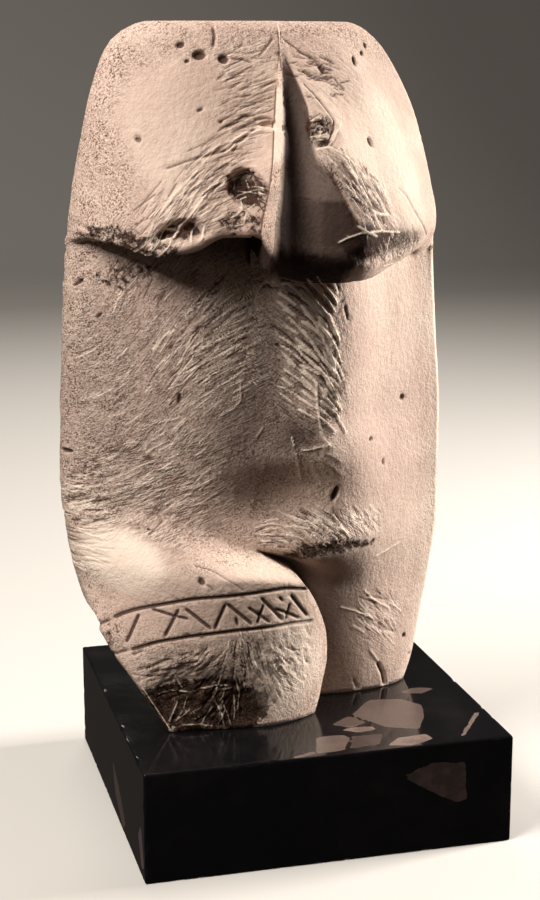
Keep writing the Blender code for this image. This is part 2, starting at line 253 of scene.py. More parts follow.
def front_of(x, z):
    """How far forward the carved front stands at x, z, before the sides are rounded off."""
    body = belly(x, z)
    left_share = under(z - left_breast_edge(x), LEFT_UNDER, lip=0.9, rounding=5.0)
    right_share = under(z - right_breast_edge(x), RIGHT_UNDER, lip=0.6, rounding=20.0)
    left = mix(body, left_chest(x, z), left_share)
    right = mix(body, right_chest(x, z), right_share)
    shelf = groin_line(x) - ramp(x, -80, -20) * 6
    rise = mix(18.0, 5.0, ramp(x, -75, -25))
    thigh_share = 1 - ramp(z, shelf - rise * 0.9, shelf + rise)
    left = mix(left, left_thigh(x, z), thigh_share)
    fall = mix(9.0, 32.0, ramp(x, -5, 45))
    leg_share = 1 - ramp(z, groin_line(x) - fall, groin_line(x) + 1)
    right = mix(right, right_thigh(x, z), leg_share)
    front = mix(left, right, ramp(x - seam(z), -WALL, WALL))
    return front - hollows(x, z)


def oval(x, z, at_x, at_z, wide, high, turn, inner, outer):
    """1 within one share of a turned oval, falling to 0 at another share of it."""
    c, s = cos(radians(turn)), sin(radians(turn))
    along, up = (x - at_x) * c + (z - at_z) * s, (z - at_z) * c - (x - at_x) * s
    return 1 - ramp(np.hypot(along / wide, up / high), inner, outer)


def hollows(x, z):
    """How deep the breaks and gouged pits in the front are."""
    return sum(
        depth * oval(x, z, *place, 0.55, 1.15)
        for depth, *place in (
            (6.0, -33, 288.5, 9, 9, 0),
            (4.0, -67, 267, 13, 6, 10),
            (3.5, 8.5, 313, 8, 9, 0),
            (3.0, -18, 318, 5, 2.5, 0),
            (2.0, 42, 255, 28, 8, 2),
            (3.2, -58, 15, 34, 23, -8),
        )
    )


# Rims where the front meets the back

def left_rim_front(z):
    return curve(z, (0, 48), (20, 44), (40, 35), (52, 28), (78, -6), (95, -10), (260, -10), (330, -2))


def right_rim_front(z):
    return curve(z, (0, -2), (60, -15), (110, -17), (235, -17), (262, -12), (310, -7), (370, -2))


def back_of(x, z):
    back = curve(
        z, (0, 36), (40, 41), (85, 45), (120, 41), (180, 34), (235, 33), (300, 34), (345, 29),
        (370, 24),
    )
    back = back - curve(np.abs(x + 12), (0, 0), (40, 1), (80, 6), (115, 12))
    cleft = 6.0 * hill(x + 10, 7) * ramp(112 - z, 0, 35)
    spine = 2.5 * hill(x + 12, 10) * ramp(z, 130, 170) * ramp(350 - z, 0, 40)
    return back - cleft - spine


def rounded(across, power):
    return (1 - np.abs(across).clip(0, 1) ** power) ** (1 / power)


def surface(x, z, on_back):
    """Where the torso's skin lies, in y, at x and z on its front or its back."""
    low, high = left_side(z), right_side(z)
    middle, half = 0.5 * (low + high), 0.5 * (high - low)
    across = ((x - middle) / half).clip(-1, 1)
    power = mix(BODY_POWER, CHEST_POWER, ramp(z, 240, 270))
    rim = np.where(across < 0, left_rim_front(z), right_rim_front(z))
    share = rounded(across, power)
    top = (z - (TOP - TOP_ROUNDING)).clip(0, TOP_ROUNDING)
    inset = TOP_ROUNDING - np.sqrt(TOP_ROUNDING**2 - top**2)
    front = rim + (front_of(x, z) - inset - rim) * share
    slant = ((x - low) / 34.0).clip(0, 1) ** 0.9
    broken = (1 - ramp(z, 50, 80)) * (across < 0)
    back = -rim + (back_of(x, z) - inset + rim) * mix(share, np.minimum(share, slant), broken)
    return np.where(on_back, back, -front)


# Band of incised zigzags across the left thigh

def band_top(x):
    return curve(x, (-104, 60.5), (-94, 66.5), (-79, 71.5), (-60, 75.3), (-36, 76.5), (-16, 77.3), (1, 74))


def band_bottom(x):
    return curve(x, (-96, 46), (-80, 51.7), (-60, 55.3), (-35, 57), (-12, 57), (5, 55))


def band_strokes():
    """Each cut of the band, as points x, z and its share of the full width."""
    def line(edge, start, end):
        return [(x, float(edge(np.array(x)))) for x in np.linspace(start, end, 22)]

    yield line(band_top, -103.0, 0.5), 1.0
    yield line(band_bottom, -95.5, 4.5), 1.0
    # The zigzag: x and height where each cut starts and ends, from the band's lower line, 0, to its upper, 1
    for start, low, end, high, width in (
        (-97.5, 0.18, -90.0, 0.88, 0.7),
        (-84.5, 0.94, -72.5, 0.62, 0.5),
        (-72.5, 0.62, -65.5, 0.48, 0.5),
        (-78.5, 0.10, -70.5, 0.82, 0.75),
        (-68.0, 0.80, -54.0, 0.12, 1.0),
        (-53.0, 0.10, -46.5, 0.82, 0.8),
        (-46.5, 0.82, -32.0, 0.12, 1.0),
        (-41.5, 0.42, -40.3, 0.12, 0.7),
        (-35.0, 0.64, -22.0, 0.12, 0.8),
        (-30.0, 0.12, -26.0, 0.68, 0.8),
        (-27.8, 0.87, -14.8, 0.12, 1.1),
        (-20.0, 0.50, -4.8, 0.12, 0.6),
        (-13.5, 0.12, -10.7, 0.62, 0.8),
        (-17.8, 0.82, -14.7, 0.64, 0.6),
        (-10.7, 0.84, 1.0, 0.14, 1.1),
    ):
        x = np.linspace(start, end, 5)
        z = mix(band_bottom(x), band_top(x), np.linspace(low, high, 5))
        yield list(zip(x, z)), width


# Mesh of the torso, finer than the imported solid

def spaced(count):
    """Numbers from 0 to 1 that come closer together towards 1."""
    t = np.linspace(0, 1, count, endpoint=False)
    return CLOSER * (1 - (1 - t) ** 2) + (1 - CLOSER) * t


def column_table():
    """(zone, share) of each upright line of the grid: left of the seam, the step on it, right of it."""
    left = [(0, 1 - t) for t in spaced(LEFT_COLUMNS)][::-1]
    left = [(0, 0.0)] + left[:-1]
    step = [(1, t) for t in np.linspace(0, 1, STEP_COLUMNS, endpoint=False)]
    right = [(2, t) for t in spaced(RIGHT_COLUMNS)] + [(2, 1.0)]
    return np.array(left + step + right)


def row_table():
    """(zone, share) of each level line of the grid, from the base up to the flat cut."""
    rows = [(zone, t) for zone, n in enumerate(ROWS) for t in np.linspace(0, 1, n, endpoint=False)]
    return np.array(rows + [(len(ROWS) - 1, 1.0)])


def grid_places(columns, rows):
    """x and z of every crossing. The lines bend to follow the seam, the groin and the breasts' edges."""
    zone_c, share_c = columns[:, 0].astype(int)[None, :], columns[:, 1][None, :]
    zone_r, share_r = rows[:, 0].astype(int)[:, None], rows[:, 1][:, None]
    row, column = np.indices((len(rows), len(columns)))

    def between(marks, zone, share):
        marks = np.stack(marks)
        return mix(marks[zone, row, column], marks[zone + 1, row, column], share)

    x = np.zeros(row.shape)
    zero = np.zeros(row.shape)
    for _ in range(SETTLING_ROUNDS):
        edge = mix(left_breast_edge(x), right_breast_edge(x), ramp(x - seam(255.0), -9, 9))
        groin = groin_line(x)
        levels = [zero, groin - 14, groin + 8, edge - 11, edge + 6, zero + TOP - TOP_ROUNDING, zero + TOP]
        z = between(levels, zone_r, share_r)
        line = seam(z)
        x = between([left_side(z), line - WALL, line + WALL, right_side(z)], zone_c, share_c)
    return x, z


def quads(at):
    """The four corners of each square between the vertices numbered in a grid."""
    return np.stack([at[:-1, :-1], at[:-1, 1:], at[1:, 1:], at[1:, :-1]], -1).reshape(-1, 4).tolist()


def coarse_torso():
    """Every vertex as x, z and its share of the way to the front, and the faces between them."""
    x, z = grid_places(column_table(), row_table())
    height, width = x.shape
    front = np.stack([x, z, np.ones_like(x)], -1)
    back = (front * (1, 1, 0))[:, 1:-1]
    places = [front.reshape(-1, 3), back.reshape(-1, 3)]
    at_front = np.arange(height * width).reshape(height, width)
    at_back = at_front.size + np.arange(height * (width - 2)).reshape(height, -1)
    behind = np.concatenate([at_front[:, :1], at_back, at_front[:, -1:]], 1)
    faces = quads(at_front) + quads(behind[:, ::-1])
    for row, count in ((0, BASE_CAP_ROWS), (-1, TOP_CAP_ROWS)):
        level = np.linspace(1, 0, count + 2)[1:-1, None, None]
        inner = front[row, 1:-1][None] * (1, 1, 0) + level * (0, 0, 1)
        places.append(inner.reshape(-1, 3))
        at = sum(map(len, places[:-1])) + np.arange(inner.size // 3).reshape(inner.shape[:2])
        at = np.concatenate([at_front[row:][:1, 1:-1], at, at_back[row:][:1]])
        lid = quads(at) + [[at_front[row, 0], *at[::-1, 0]], [at_front[row, -1], *at[:, -1]]]
        faces += lid if row else [face[::-1] for face in lid]
    return np.concatenate(places), faces


def skin(place):
    """Where the skin lies, in units, for each x, z and share of the way to the front."""
    x, z, forward = place.T
    y = mix(surface(x, z, True), surface(x, z, False), forward)
    return np.stack([x, y, z + undercut(x, z) * (forward == 1)], -1)


def stored(work):
    """x, z and share to the front, as kept on each vertex."""
    layer = work.verts.layers.float_vector["place"]
    return np.array([vertex[layer] for vertex in work.verts])


def refine(work, wanted):
    """Splits each front face in four where its middle is wanted. Its neighbours take up the new corners."""
    place = stored(work)
    corners = [[vertex.index for vertex in face.verts] for face in work.faces]
    middle = np.array([place[face].mean(0) for face in corners])
    chosen = (middle[:, 2] > 0.999) & wanted(middle[:, 0], middle[:, 1])
    work.faces.ensure_lookup_table()
    edges = {edge for i in np.flatnonzero(chosen) for edge in work.faces[i].edges}
    bmesh.ops.subdivide_edges(work, edges=list(edges), cuts=1, use_grid_fill=True)
    work.verts.index_update()
    work.faces.index_update()


def set_places(mesh, points):
    """Moves a mesh's vertices to these points and shades it smooth."""
    mesh.vertices.foreach_set("co", points.astype(np.float32).ravel())
    mesh.update()
    mesh.shade_smooth()


def set_attribute(mesh, name, values):
    """Keeps one number for each vertex, for the materials to read."""
    mesh.attributes.new(name, "FLOAT", "POINT").data.foreach_set("value", values.astype(np.float32))


def add_object(name, data):
    """Puts a mesh, a light or a camera in the scene."""
    made = bpy.data.objects.new(name, data)
    bpy.context.scene.collection.objects.link(made)
    return made


# Fixed noise, in the torso's units

def hashed(i, j, k, seed):
    """A number from 0 to 1 for each whole-number place, the same at every run."""
    n = (i * 374761393 + j * 668265263 + k * 1442695041 + seed * 362437) & 0xFFFFFFFF
    n = ((n ^ (n >> 13)) * 1274126177) & 0xFFFFFFFF
    n = ((n ^ (n >> 15)) * 2246822519) & 0xFFFFFFFF
    return ((n ^ (n >> 16)) & 0xFFFF) / 65535.0


def noise(points, size, seed):
    """Smooth noise from -1 to 1 whose lumps are about as wide as size."""
    scaled = points / size
    whole = np.floor(scaled).astype(np.int64)
    a, b, c = smooth(scaled - whole).T
    i, j, k = whole.T
    level = [
        mix(
            mix(hashed(i, j, k + up, seed), hashed(i + 1, j, k + up, seed), a),
            mix(hashed(i, j + 1, k + up, seed), hashed(i + 1, j + 1, k + up, seed), a),
            b,
        )
        for up in (0, 1)
    ]
    return mix(level[0], level[1], c) * 2 - 1


# Marks of the tools, as lines on the front in x and z

def flow(x, z):
    """The way the tool ran, in degrees up from the right."""
    left_chest = mix(52.0, 13.0, ramp(x, -84, -22))
    right_chest = mix(-54.0, -12.0, ramp(z, 300, 335))
    trunk = curve(
        x, (-115, 24), (-90, 42), (-68, 46), (-54, 36), (-42, 27), (-28, 16), (-18, -4), (-10, -24),
        (8, -38), (20, -54), (30, -68),
    )
    hip = curve(x, (-120, 8), (-100, 24), (-60, 30), (-20, 8), (0, -30), (30, -52))
    left_leg = curve(x, (-100, 12), (-72, 22), (-54, 55), (-40, 92), (-20, 118), (0, 138))
    right_leg = curve(x, (0, -35), (30, -36), (50, -44), (75, -60))
    on_right = x > seam(z)
    chest = np.where(on_right, right_chest, left_chest)
    leg = np.where(on_right, right_leg, left_leg)
    edge = np.where(on_right, right_breast_edge(x), left_breast_edge(x))
    lower = mix(leg, hip, ramp(z, groin_line(x) - 8, groin_line(x)))
    body = mix(lower, trunk, ramp(z, 140, 165))
    return np.where(z > edge, chest, body)


# Fields of strokes: middle x and z, half width, half height and turn of the area; number of strokes;
# shortest and longest; width; height of a ridge (plus) or depth of a cut (minus); painted highlight; painted
# shade
FIELDS = {
    "left breast": ((-58, 288, 46, 14, 42), 110, (6, 15), 0.7, -0.32, 0.3, 0.9),
    "left breast ridges": ((-60, 281, 42, 12, 45), 60, (8, 22), 0.9, 0.32, 0.7, 0),
    "beside the prow": ((-28, 338, 14, 24, 0), 44, (6, 16), 0.8, -0.40, 0.2, 0.7),
    "over the patch": ((-31, 324, 14, 5, 10), 14, (8, 20), 0.8, -0.5, 0.1, 0.9),
    "belly left": ((-70, 200, 48, 42, 0), 110, (5, 12), 0.6, -0.22, 0.3, 1),
    "belly left ridges": ((-66, 196, 48, 42, 0), 80, (6, 14), 0.6, 0.2, 1, 0),
    "belly arch": ((-44, 208, 28, 19, 25), 40, (8, 20), 0.5, 0.2, 1.2, 0),
    "belly arch cuts": ((-42, 208, 28, 20, 25), 60, (8, 18), 0.6, -0.25, 0, 1.2),
    "belly right": ((8, 206, 15, 36, 14), 30, (8, 17), 0.6, 0.8, 1.9, 0),
    "belly right cuts": ((5, 202, 18, 40, 14), 44, (7, 16), 0.8, -0.8, 0, 1.5),
    "lower belly": ((-82, 132, 36, 26, 0), 90, (5, 12), 0.7, -0.2, 0.3, 1),
    "lower belly ridges": ((-78, 130, 38, 26, 0), 70, (6, 16), 0.6, 0.2, 1.2, 0),
    "left edge": ((-113, 108, 10, 28, 0), 50, (6, 14), 0.7, -0.3, 0.3, 1.4),
    "left edge ridges": ((-113, 106, 10, 28, 0), 40, (6, 14), 0.7, 0.3, 1.5, 0),
    "groin": ((13, 103, 40, 9, 2), 65, (6, 16), 0.6, 0.45, 1.4, 0),
    "groin cuts": ((13, 102, 40, 10, 2), 60, (5, 12), 0.7, -0.4, 0, 1),
    "crest": ((30, 284, 28, 12, -46), 60, (5, 18), 0.55, 0.35, 1, 0),
    "crest cuts": ((28, 283, 29, 12, -46), 110, (4, 12), 0.6, -0.35, 0, 1.4),
    "right breast top": ((10, 342, 17, 12, -22), 46, (4, 11), 0.9, -0.5, 0.1, 1),
    "under the band": ((-30, 34, 30, 20, -8), 84, (5, 13), 0.6, -0.4, 0, 1.4),
    "thin lines right of it": ((-6, 32, 10, 18, 0), 14, (4, 12), 0.6, -0.4, 0, 1.4),
    "fibres left of it": ((-72, 37, 20, 8, 15), 60, (6, 16), 0.9, -0.4, 0.1, 0.6),
    "under the band ridges": ((-30, 36, 28, 17, -8), 40, (5, 12), 0.6, 0.4, 1.1, 0),
    "over the knot": ((6, 318, 6, 5, 30), 20, (3, 6), 0.55, 0.4, 0.9, 0),
    "knot cuts": ((6, 317, 7, 6, 30), 26, (3, 6), 0.6, -0.5, 0, 1.7),
    "hollow of the left breast": ((-32, 285, 9, 9, 0), 26, (4, 10), 0.6, -0.6, 0, 1.8),
    "fibres over that hollow": ((-33, 283, 9, 9, 0), 10, (4, 9), 0.5, 0.4, 0.8, 0),
    "broken thigh fibres": ((-56, 14, 20, 9, -6), 14, (5, 12), 0.6, 0.5, 0.75, 0),
    "broken thigh cuts": ((-60, 16, 28, 12, -8), 30, (5, 12), 0.8, -0.8, 0, 1.4),
    "right thigh": ((52, 42, 17, 13, -42), 24, (6, 18), 0.6, 0.3, 1.2, 0),
    "right thigh cuts": ((52, 42, 17, 14, -42), 22, (6, 15), 0.7, -0.3, 0, 0.9),
    "arch hollow": ((42, 255, 27, 7, 4), 60, (6, 16), 0.7, -0.25, 0, 1.2),
    "arch hollow ridges": ((46, 257, 24, 5, 4), 46, (4, 12), 0.5, 0.2, 0.55, 0),
}
TANGLED = ("over the knot", "knot cuts", "hollow of the left breast", "fibres over that hollow")


def walked(x, z, length, astray):
    """Points along strokes of these lengths that follow the tool's way, each astray by its own angle."""
    points = [(x, z)]
    for _ in range(STROKE_BENDS):
        way = np.radians(flow(x, z) + astray)
        x, z = x + np.cos(way) * length / STROKE_BENDS, z + np.sin(way) * length / STROKE_BENDS
        points.append((x, z))
    return np.array(points).transpose(2, 0, 1)


def field_strokes():
    """Every stroke of the fields, as its points, width, height, painted highlight and painted shade."""
    chance = np.random.default_rng(FIELD_SEED)
    for name, ((at_x, at_z, wide, high, turn), count, reach, width, height, painted_highlight, painted_dark) in FIELDS.items():
        c, s = cos(radians(turn)), sin(radians(turn))
        out, around = chance.random(count) ** GATHERED, chance.random(count) * 2 * np.pi
        along, up = wide * out * np.cos(around), high * out * np.sin(around)
        length = chance.uniform(*reach, count)
        size, strength = chance.uniform(0.7, 1.25, (2, count))
        x, z = at_x + along * c - up * s, at_z + along * s + up * c
        astray = chance.normal(0, TANGLED_ASTRAY if name in TANGLED else ASTRAY, count)
        way = np.radians(flow(x, z) + astray)
        x, z = x - np.cos(way) * length / 2, z - np.sin(way) * length / 2
        for stroke, a, b in zip(walked(x, z, length, astray), size, strength):
            yield stroke, width * a, height * b, painted_highlight * b, painted_dark * b


# Combs of nearly parallel ridges: x where they start, lowest and highest z, spacing; shortest and
# longest, which are negative where the ridges run to the left; width; height; painted highlight
COMBS = (
    ((-10, 178, 238, 2.9), (8, 16), 0.65, 0.6, 2.0),
    ((1, 170, 236, 2.7), (9, 18), 0.78, 0.9, 2.5),
    ((11, 166, 234, 2.6), (9, 18), 0.88, 1.3, 2.9),
    ((-22, 186, 234, 3.0), (-36, -16), 0.5, 0.25, 1.25),
    ((-50, 176, 216, 3.6), (-24, -10), 0.5, 0.22, 0.9),
)


def comb_strokes():
    """Every ridge of the combs, given as the fields' strokes are."""
    chance = np.random.default_rng(COMB_SEED)
    for (at_x, low, high, spacing), reach, width, height, painted_highlight in COMBS:
        z = np.arange(low, high, spacing)
        x = at_x + chance.normal(0, 2.2, len(z))
        length = chance.uniform(*reach, len(z))
        astray, size = chance.normal(0, 5, len(z)), chance.uniform(0.75, 1.2, len(z))
        for stroke, a in zip(walked(x, z, length, astray), size):
            yield stroke, width * a, height * a, painted_highlight, 0.0


def band_lines():
    for points, width in band_strokes():
        # each cut of the band is painted dark as shade
        yield points, 1.6 * (0.6 + 0.4 * width), -1.3 * (0.5 + 0.5 * width), 0.0, 2.0


# Single lines: x and z of their points in turn; width; height; painted highlight; painted shade, if any
LINES = (
    # The band's ends on the broken left edge, and its short third line
    ((-112, 55, -107.5, 58, -103, 60.9), 1.8, -1.2, 0, 1),
    ((-105, 41.5, -100, 44.5, -95.5, 46.6), 1.8, -1.2, 0, 1),
    ((-95.6, 43.2, -88, 47), 1.4, -0.9, 0, 0.9),
    # Pale rims and lines in the broken patch on the thigh
    ((-90, 26, -75, 0.5), 0.8, 0.6, 1),
    ((-73.6, 33.8, -68.6, 23.8), 0.9, 0.5, 0.9),
    ((-73.6, 33.8, -80, 25), 0.9, 0.4, 0.8),
    ((-71, 17, -77, 3), 0.8, 0.5, 0.9),
    ((-66, 20, -68.4, 12, -72, 6), 0.6, 0.4, 0.7),
    ((-70, 3.6, -58, 3, -52.5, 1.8), 0.7, 0.5, 0.8),
    ((-82, 21.5, -72, 23, -66, 22.4), 0.7, 0.5, 1),
    ((-60, 23.6, -50, 25.4, -44, 24.6), 0.8, 0.5, 1),
    ((-52, 17, -48, 9, -46.5, 1.6), 1, 0.6, 0.8),
    ((-48, 16, -44.5, 8, -43, 2), 0.7, 0.5, 0.7),
    ((-50, 22.5, -41, 23.5), 0.8, 0.5, 0.8),
    # Cracks that run into the prow, and the line round a smooth patch below them
    ((-34.7, 321.3, -26.9, 323.2, -17.4, 325.6, -13, 328.5), 1, -0.6, 0, 0.9),
    ((-32.8, 326.2, -21.1, 330.5, -13, 332.7), 0.9, -0.5, 0, 0.8),
    ((-31, 329.6, -21.8, 334, -13, 336.4), 0.9, -0.5, 0, 0.8),
    ((-39.6, 306.1, -36, 310.5, -32.3, 313.4, -24.4, 315.8, -17, 316.4), 1, 0.6, 0.9),
    ((-38.6, 304.8, -35, 309.2, -31.5, 312, -24, 314.4, -17, 315), 0.8, -0.5, 0, 0.8),
    ((-37.9, 292.2, -34.5, 294.6, -30.9, 296.1, -27.9, 292.4, -25.1, 287.4, -24.2, 283.6), 1.2, -0.9, 0, 1),
    ((-35.7, 282.4, -35.9, 277.3, -39.2, 274.5, -42.4, 273.1), 0.9, 0.7, 1),
    ((-46, 260, -38, 260, -32, 258.5, -28, 255), 0.9, 0.8, 1.2),
    ((-36, 256, -32, 254.5, -28, 251.5), 0.8, 0.7, 1.2),
    # Fibres over the hollow of the left breast
    ((-37, 283.5, -24, 288), 0.7, 0.7, 0.6),
    ((-30, 297, -24, 278), 0.7, 0.7, 0.5),
    ((-38, 279, -34, 276, -36, 270, -41, 269), 0.9, 0.6, 0.9),
    ((-38, 286, -37, 293, -31, 296), 0.8, 0.7, 0.6),
    # Long ridges of the lower left breast
    ((-73, 262, -62, 275, -53, 285), 1.3, 0.7, 1),
    ((-52, 271.5, -44, 275), 1.1, 0.6, 1),
    ((-78, 262, -70, 264), 1.3, 0.8, 0.9),
    ((-76, 268, -68, 268), 1.3, 0.8, 0.8),
    ((-58, 262, -55, 270), 1.1, 0.7, 0.9),
    ((-63, 261, -61, 268), 1.1, 0.7, 0.9),
    ((-73, 297, -62, 301, -50, 304, -42, 306, -33, 312, -25, 317), 1.2, -0.8, 0.2, 0.9),
    ((-42, 306, -36, 312, -28, 316), 1.2, 0.7, 0.9),
    ((-27, 321, -20, 322, -15, 321), 1.6, -1.2, 0, 1),
    ((-25, 317.5, -15, 316), 1.2, 0.8, 1),
    ((-104, 346, -108, 335), 0.8, -0.4, 0, 0.7),
    # Notched top of the prow
    ((-10, 366, -10.4, 345), 1, -0.7, 0, 0.9),
    ((-21, 352, -12, 362), 1.2, -0.7, 0, 0.8),
    ((-22, 336, -12, 341), 1.1, -0.7, 0, 0.8),
    # Long edge of the scoop, and the broken ledge in it
    ((-7.8, 352, -4.7, 344.8, -2.2, 337, 0.2, 327.4, 0.3, 310), 1.1, -0.8, 0, 1),
    ((1.4, 302, 9.5, 293.5, 11.5, 285, 16.5, 276.5, 17.2, 268), 1, -0.6, 0, 0.8),
    ((-7.9, 361.7, -3.6, 358.8, 2.8, 353.8, 10.2, 350.3), 1.1, -0.8, 0, 1),
    ((-4, 352.3, 0.3, 351.8, 7.4, 350.8), 0.9, -0.5, 0, 0.8),
    ((-2.4, 345.8, 3.8, 343.8, 11, 341.8, 18.5, 342.2), 1.1, -0.7, 0, 1),
    ((18.5, 342, 20.9, 338.7, 25.4, 335.1), 1.1, -0.7, 0, 1),
    ((-1.4, 338.9, 3.9, 333, 9.7, 325, 13.1, 320), 1.1, 0.8, 0.8),
    ((0, 339.3, 5.2, 333.8, 11, 326, 14.4, 320.5, 13.6, 315.6, 9.2, 309.8), 1, -1, 0, 1),
    ((1.7, 306, 6.4, 307, 10.4, 307.5, 14.6, 304.6), 1.1, 0.9, 1),
    ((0.9, 310.4, 7.9, 311.4), 0.9, 0.6, 0.8),
    ((18.9, 319.9, 13.6, 312, 8.5, 307.5), 1.2, 0.7, 0.8),
    ((-6.5, 282.6, -3, 282.1, -1, 281.9), 0.8, -0.5, 0, 1),
    ((0.5, 282.1, 3.4, 282.5), 0.8, -0.5, 0, 1),
    # Bright ridges at the foot of the crest
    ((28, 277, 34, 274, 44, 272), 1.6, 1.1, 1),
    ((18, 270, 24, 266, 32, 263), 1.3, 0.9, 0.9),
    ((30, 275, 34, 268, 37, 264), 1.2, 0.8, 0.9),
    ((22, 272, 24, 262), 1, 0.6, 0.7),
    ((36, 275, 40, 266), 1, -0.9, 0, 1),
    # Arch line, flank curve and lower rim of the right breast
    ((8.6, 261, 13.8, 263.8, 20.3, 265.9, 32.9, 265.8, 52.3, 262.5), 1, 0.9, 1),
    ((42, 245, 56, 244.5, 68, 245, 80, 251), 0.8, 0.4, 0.9),
    ((52, 286, 58, 281, 63, 273, 70, 265, 78, 257), 0.9, -0.7, 0, 1.2),
    ((44, 262, 40, 250), 0.9, 0.4, 0.8),
    # Scratches on the belly
    ((8, 182, 8.4, 172, 9.4, 164, 11, 155, 16, 148.5), 1.2, 0.9, 1.5),
    ((-5.6, 156, -3.8, 149), 1.1, 0.8, 1.2),
    ((-3.4, 147, -0.6, 138, 2.2, 128), 0.8, 0.7, 1.2),
    ((-1, 147.4, 4, 147.6, 10, 149, 17, 149.6), 0.9, 0.7, 1.2),
    ((5, 144, 8, 137, 12.4, 130), 0.7, 0.5, 0.7, 0.2),
    ((14, 145, 20, 142, 24, 138), 0.7, 0.5, 0.8),
    ((10, 142, 17, 137.6, 24, 131), 0.7, 0.5, 0.7),
    ((3, 139, 5, 133, 9, 128.6), 0.7, 0.5, 0.7),
    ((-33, 186, -33, 176, -37, 172, -45, 168), 1, 0.5, 0.8),
    ((-76, 165, -64, 168), 1, 0.5, 0.7),
    ((-72, 172, -69, 178), 1, 0.5, 0.7),
    ((-25, 155, -20, 162), 1, 0.6, 0.7),
    ((-86, 122, -74, 130), 1, 0.5, 0.8),
    ((-62, 120, -50, 121), 1, 0.4, 0.6),
    # Deep undercut at the top of the belly's ridge
    ((12, 238, 18, 228, 22, 216), 2.4, 1.4, 1),
    ((19, 238, 22, 230, 24, 222), 1.8, -1.6, 0, 1),
    ((24, 208, 27, 201), 1.4, -1.2, 0, 1),
    # Lines on the left thigh above the band
    ((-62, 92, -52, 89, -44, 84, -36, 78), 0.8, -0.5, 0.1, 0.7),
    ((-57.5, 83, -55, 82, -53, 79), 0.9, -0.6, 0.1, 0.8),
    ((-22, 99, -18, 95), 1, 0.7, 0.9),
    # Shallow marks on the rim of the left thigh
    ((-9, 53, -6.5, 50), 0.9, -0.6, 0, 0.8),
    ((-1, 54, 1.5, 47, 3, 52), 0.9, -0.6, 0, 0.8),
    ((-1.5, 46, -1.5, 36, 1, 31), 0.9, -0.6, 0, 0.8),
    ((-13, 44, -8, 41, -4, 40.5), 0.9, -0.6, 0, 0.8),
    ((2, 44, 2.5, 37), 0.8, -0.5, 0, 0.7),
    # Strokes and the split foot of the right thigh
    ((28, 52, 38, 48, 50, 41), 0.9, 0.5, 1.2),
    ((50, 41, 58, 34, 66, 29), 1, -0.5, 0.3, 0.6),
    ((44, 56, 60, 50), 0.9, -0.5, 0, 0.9),
    ((46, 55, 62, 44), 0.9, 0.6, 1.2),
    ((47, 24, 54, 14), 1.3, 0.6, 0.9),
    ((52, 16, 56, 8, 57.5, 0), 2.2, -2.2, 0, 1),
    ((37, 8, 40, 1), 1.4, -0.9, 0.3, 0.6),
    ((48, 79, 58, 81, 68, 83), 1, 0.6, 0.9),
    # Crack at the top of the left breast
    ((-43, 368, -42.5, 362, -44, 356), 1.6, -1.2, 0, 1),
    ((-36, 351, -30, 351, -24, 349), 1.4, -0.8, 0.2, 0.9),
)

# Fibres of the knot beside the scoop, from its middle: points; height; painted highlight; painted shade, if
# any
KNOT = (
    ((-6.5, 0, -4.7, 4.7, 0, 7, 2.9, 4.7, 4.1, 1.2), -0.7, 0, 1),
    ((-5.9, -0.6, -4.4, 2.6, -1, 5, 2, 4.4, 3.6, 0.6), 0.7, 0.5),
    ((-5.8, 1.2, -2.9, 3, 0.6, 2.6, 3.2, -1.8), -0.8, 0, 1.2),
    ((-4.4, -2.4, -1.2, 0.8, 2.6, 0.2), 0.6, 0.8),
    ((-2.6, -3, 0.2, -1, 3, -3.2), -0.8, 0, 1.2),
    ((-6.5, -4.7, -2, -4.2, 2.4, -4.7), 0.7, 0.9),
    ((-5.4, -3.4, -1.6, -3.2, 2.6, -2.8), -0.6, 0, 0.9),
)
KNOT_AT, KNOT_WIDTH = (6.6, 317.2), 0.8


def single_lines():
    """The single lines and the knot's fibres, with 0 for a painted shade that is left out."""
    for points, width, height, painted_highlight, *painted_dark in LINES:
        yield np.reshape(points, (-1, 2)), width, height, painted_highlight, sum(painted_dark)
    for points, height, painted_highlight, *painted_dark in KNOT:
        yield np.reshape(points, (-1, 2)) + KNOT_AT, KNOT_WIDTH, height, painted_highlight, sum(painted_dark)


def prow_lines():
    """The crevice at the foot of the prow's narrow side, painted dark as shade."""
    z = np.linspace(266, 338, 14)
    yield np.stack([seam(z) - WALL - 0.7, z], -1), 1.2, -0.6, 0.0, 1.0


def all_lines():
    """Every line on the front, as its points, width, height, painted highlight and painted shade."""
    yield from field_strokes()
    yield from comb_strokes()
    yield from single_lines()
    yield from prow_lines()
    yield from band_lines()


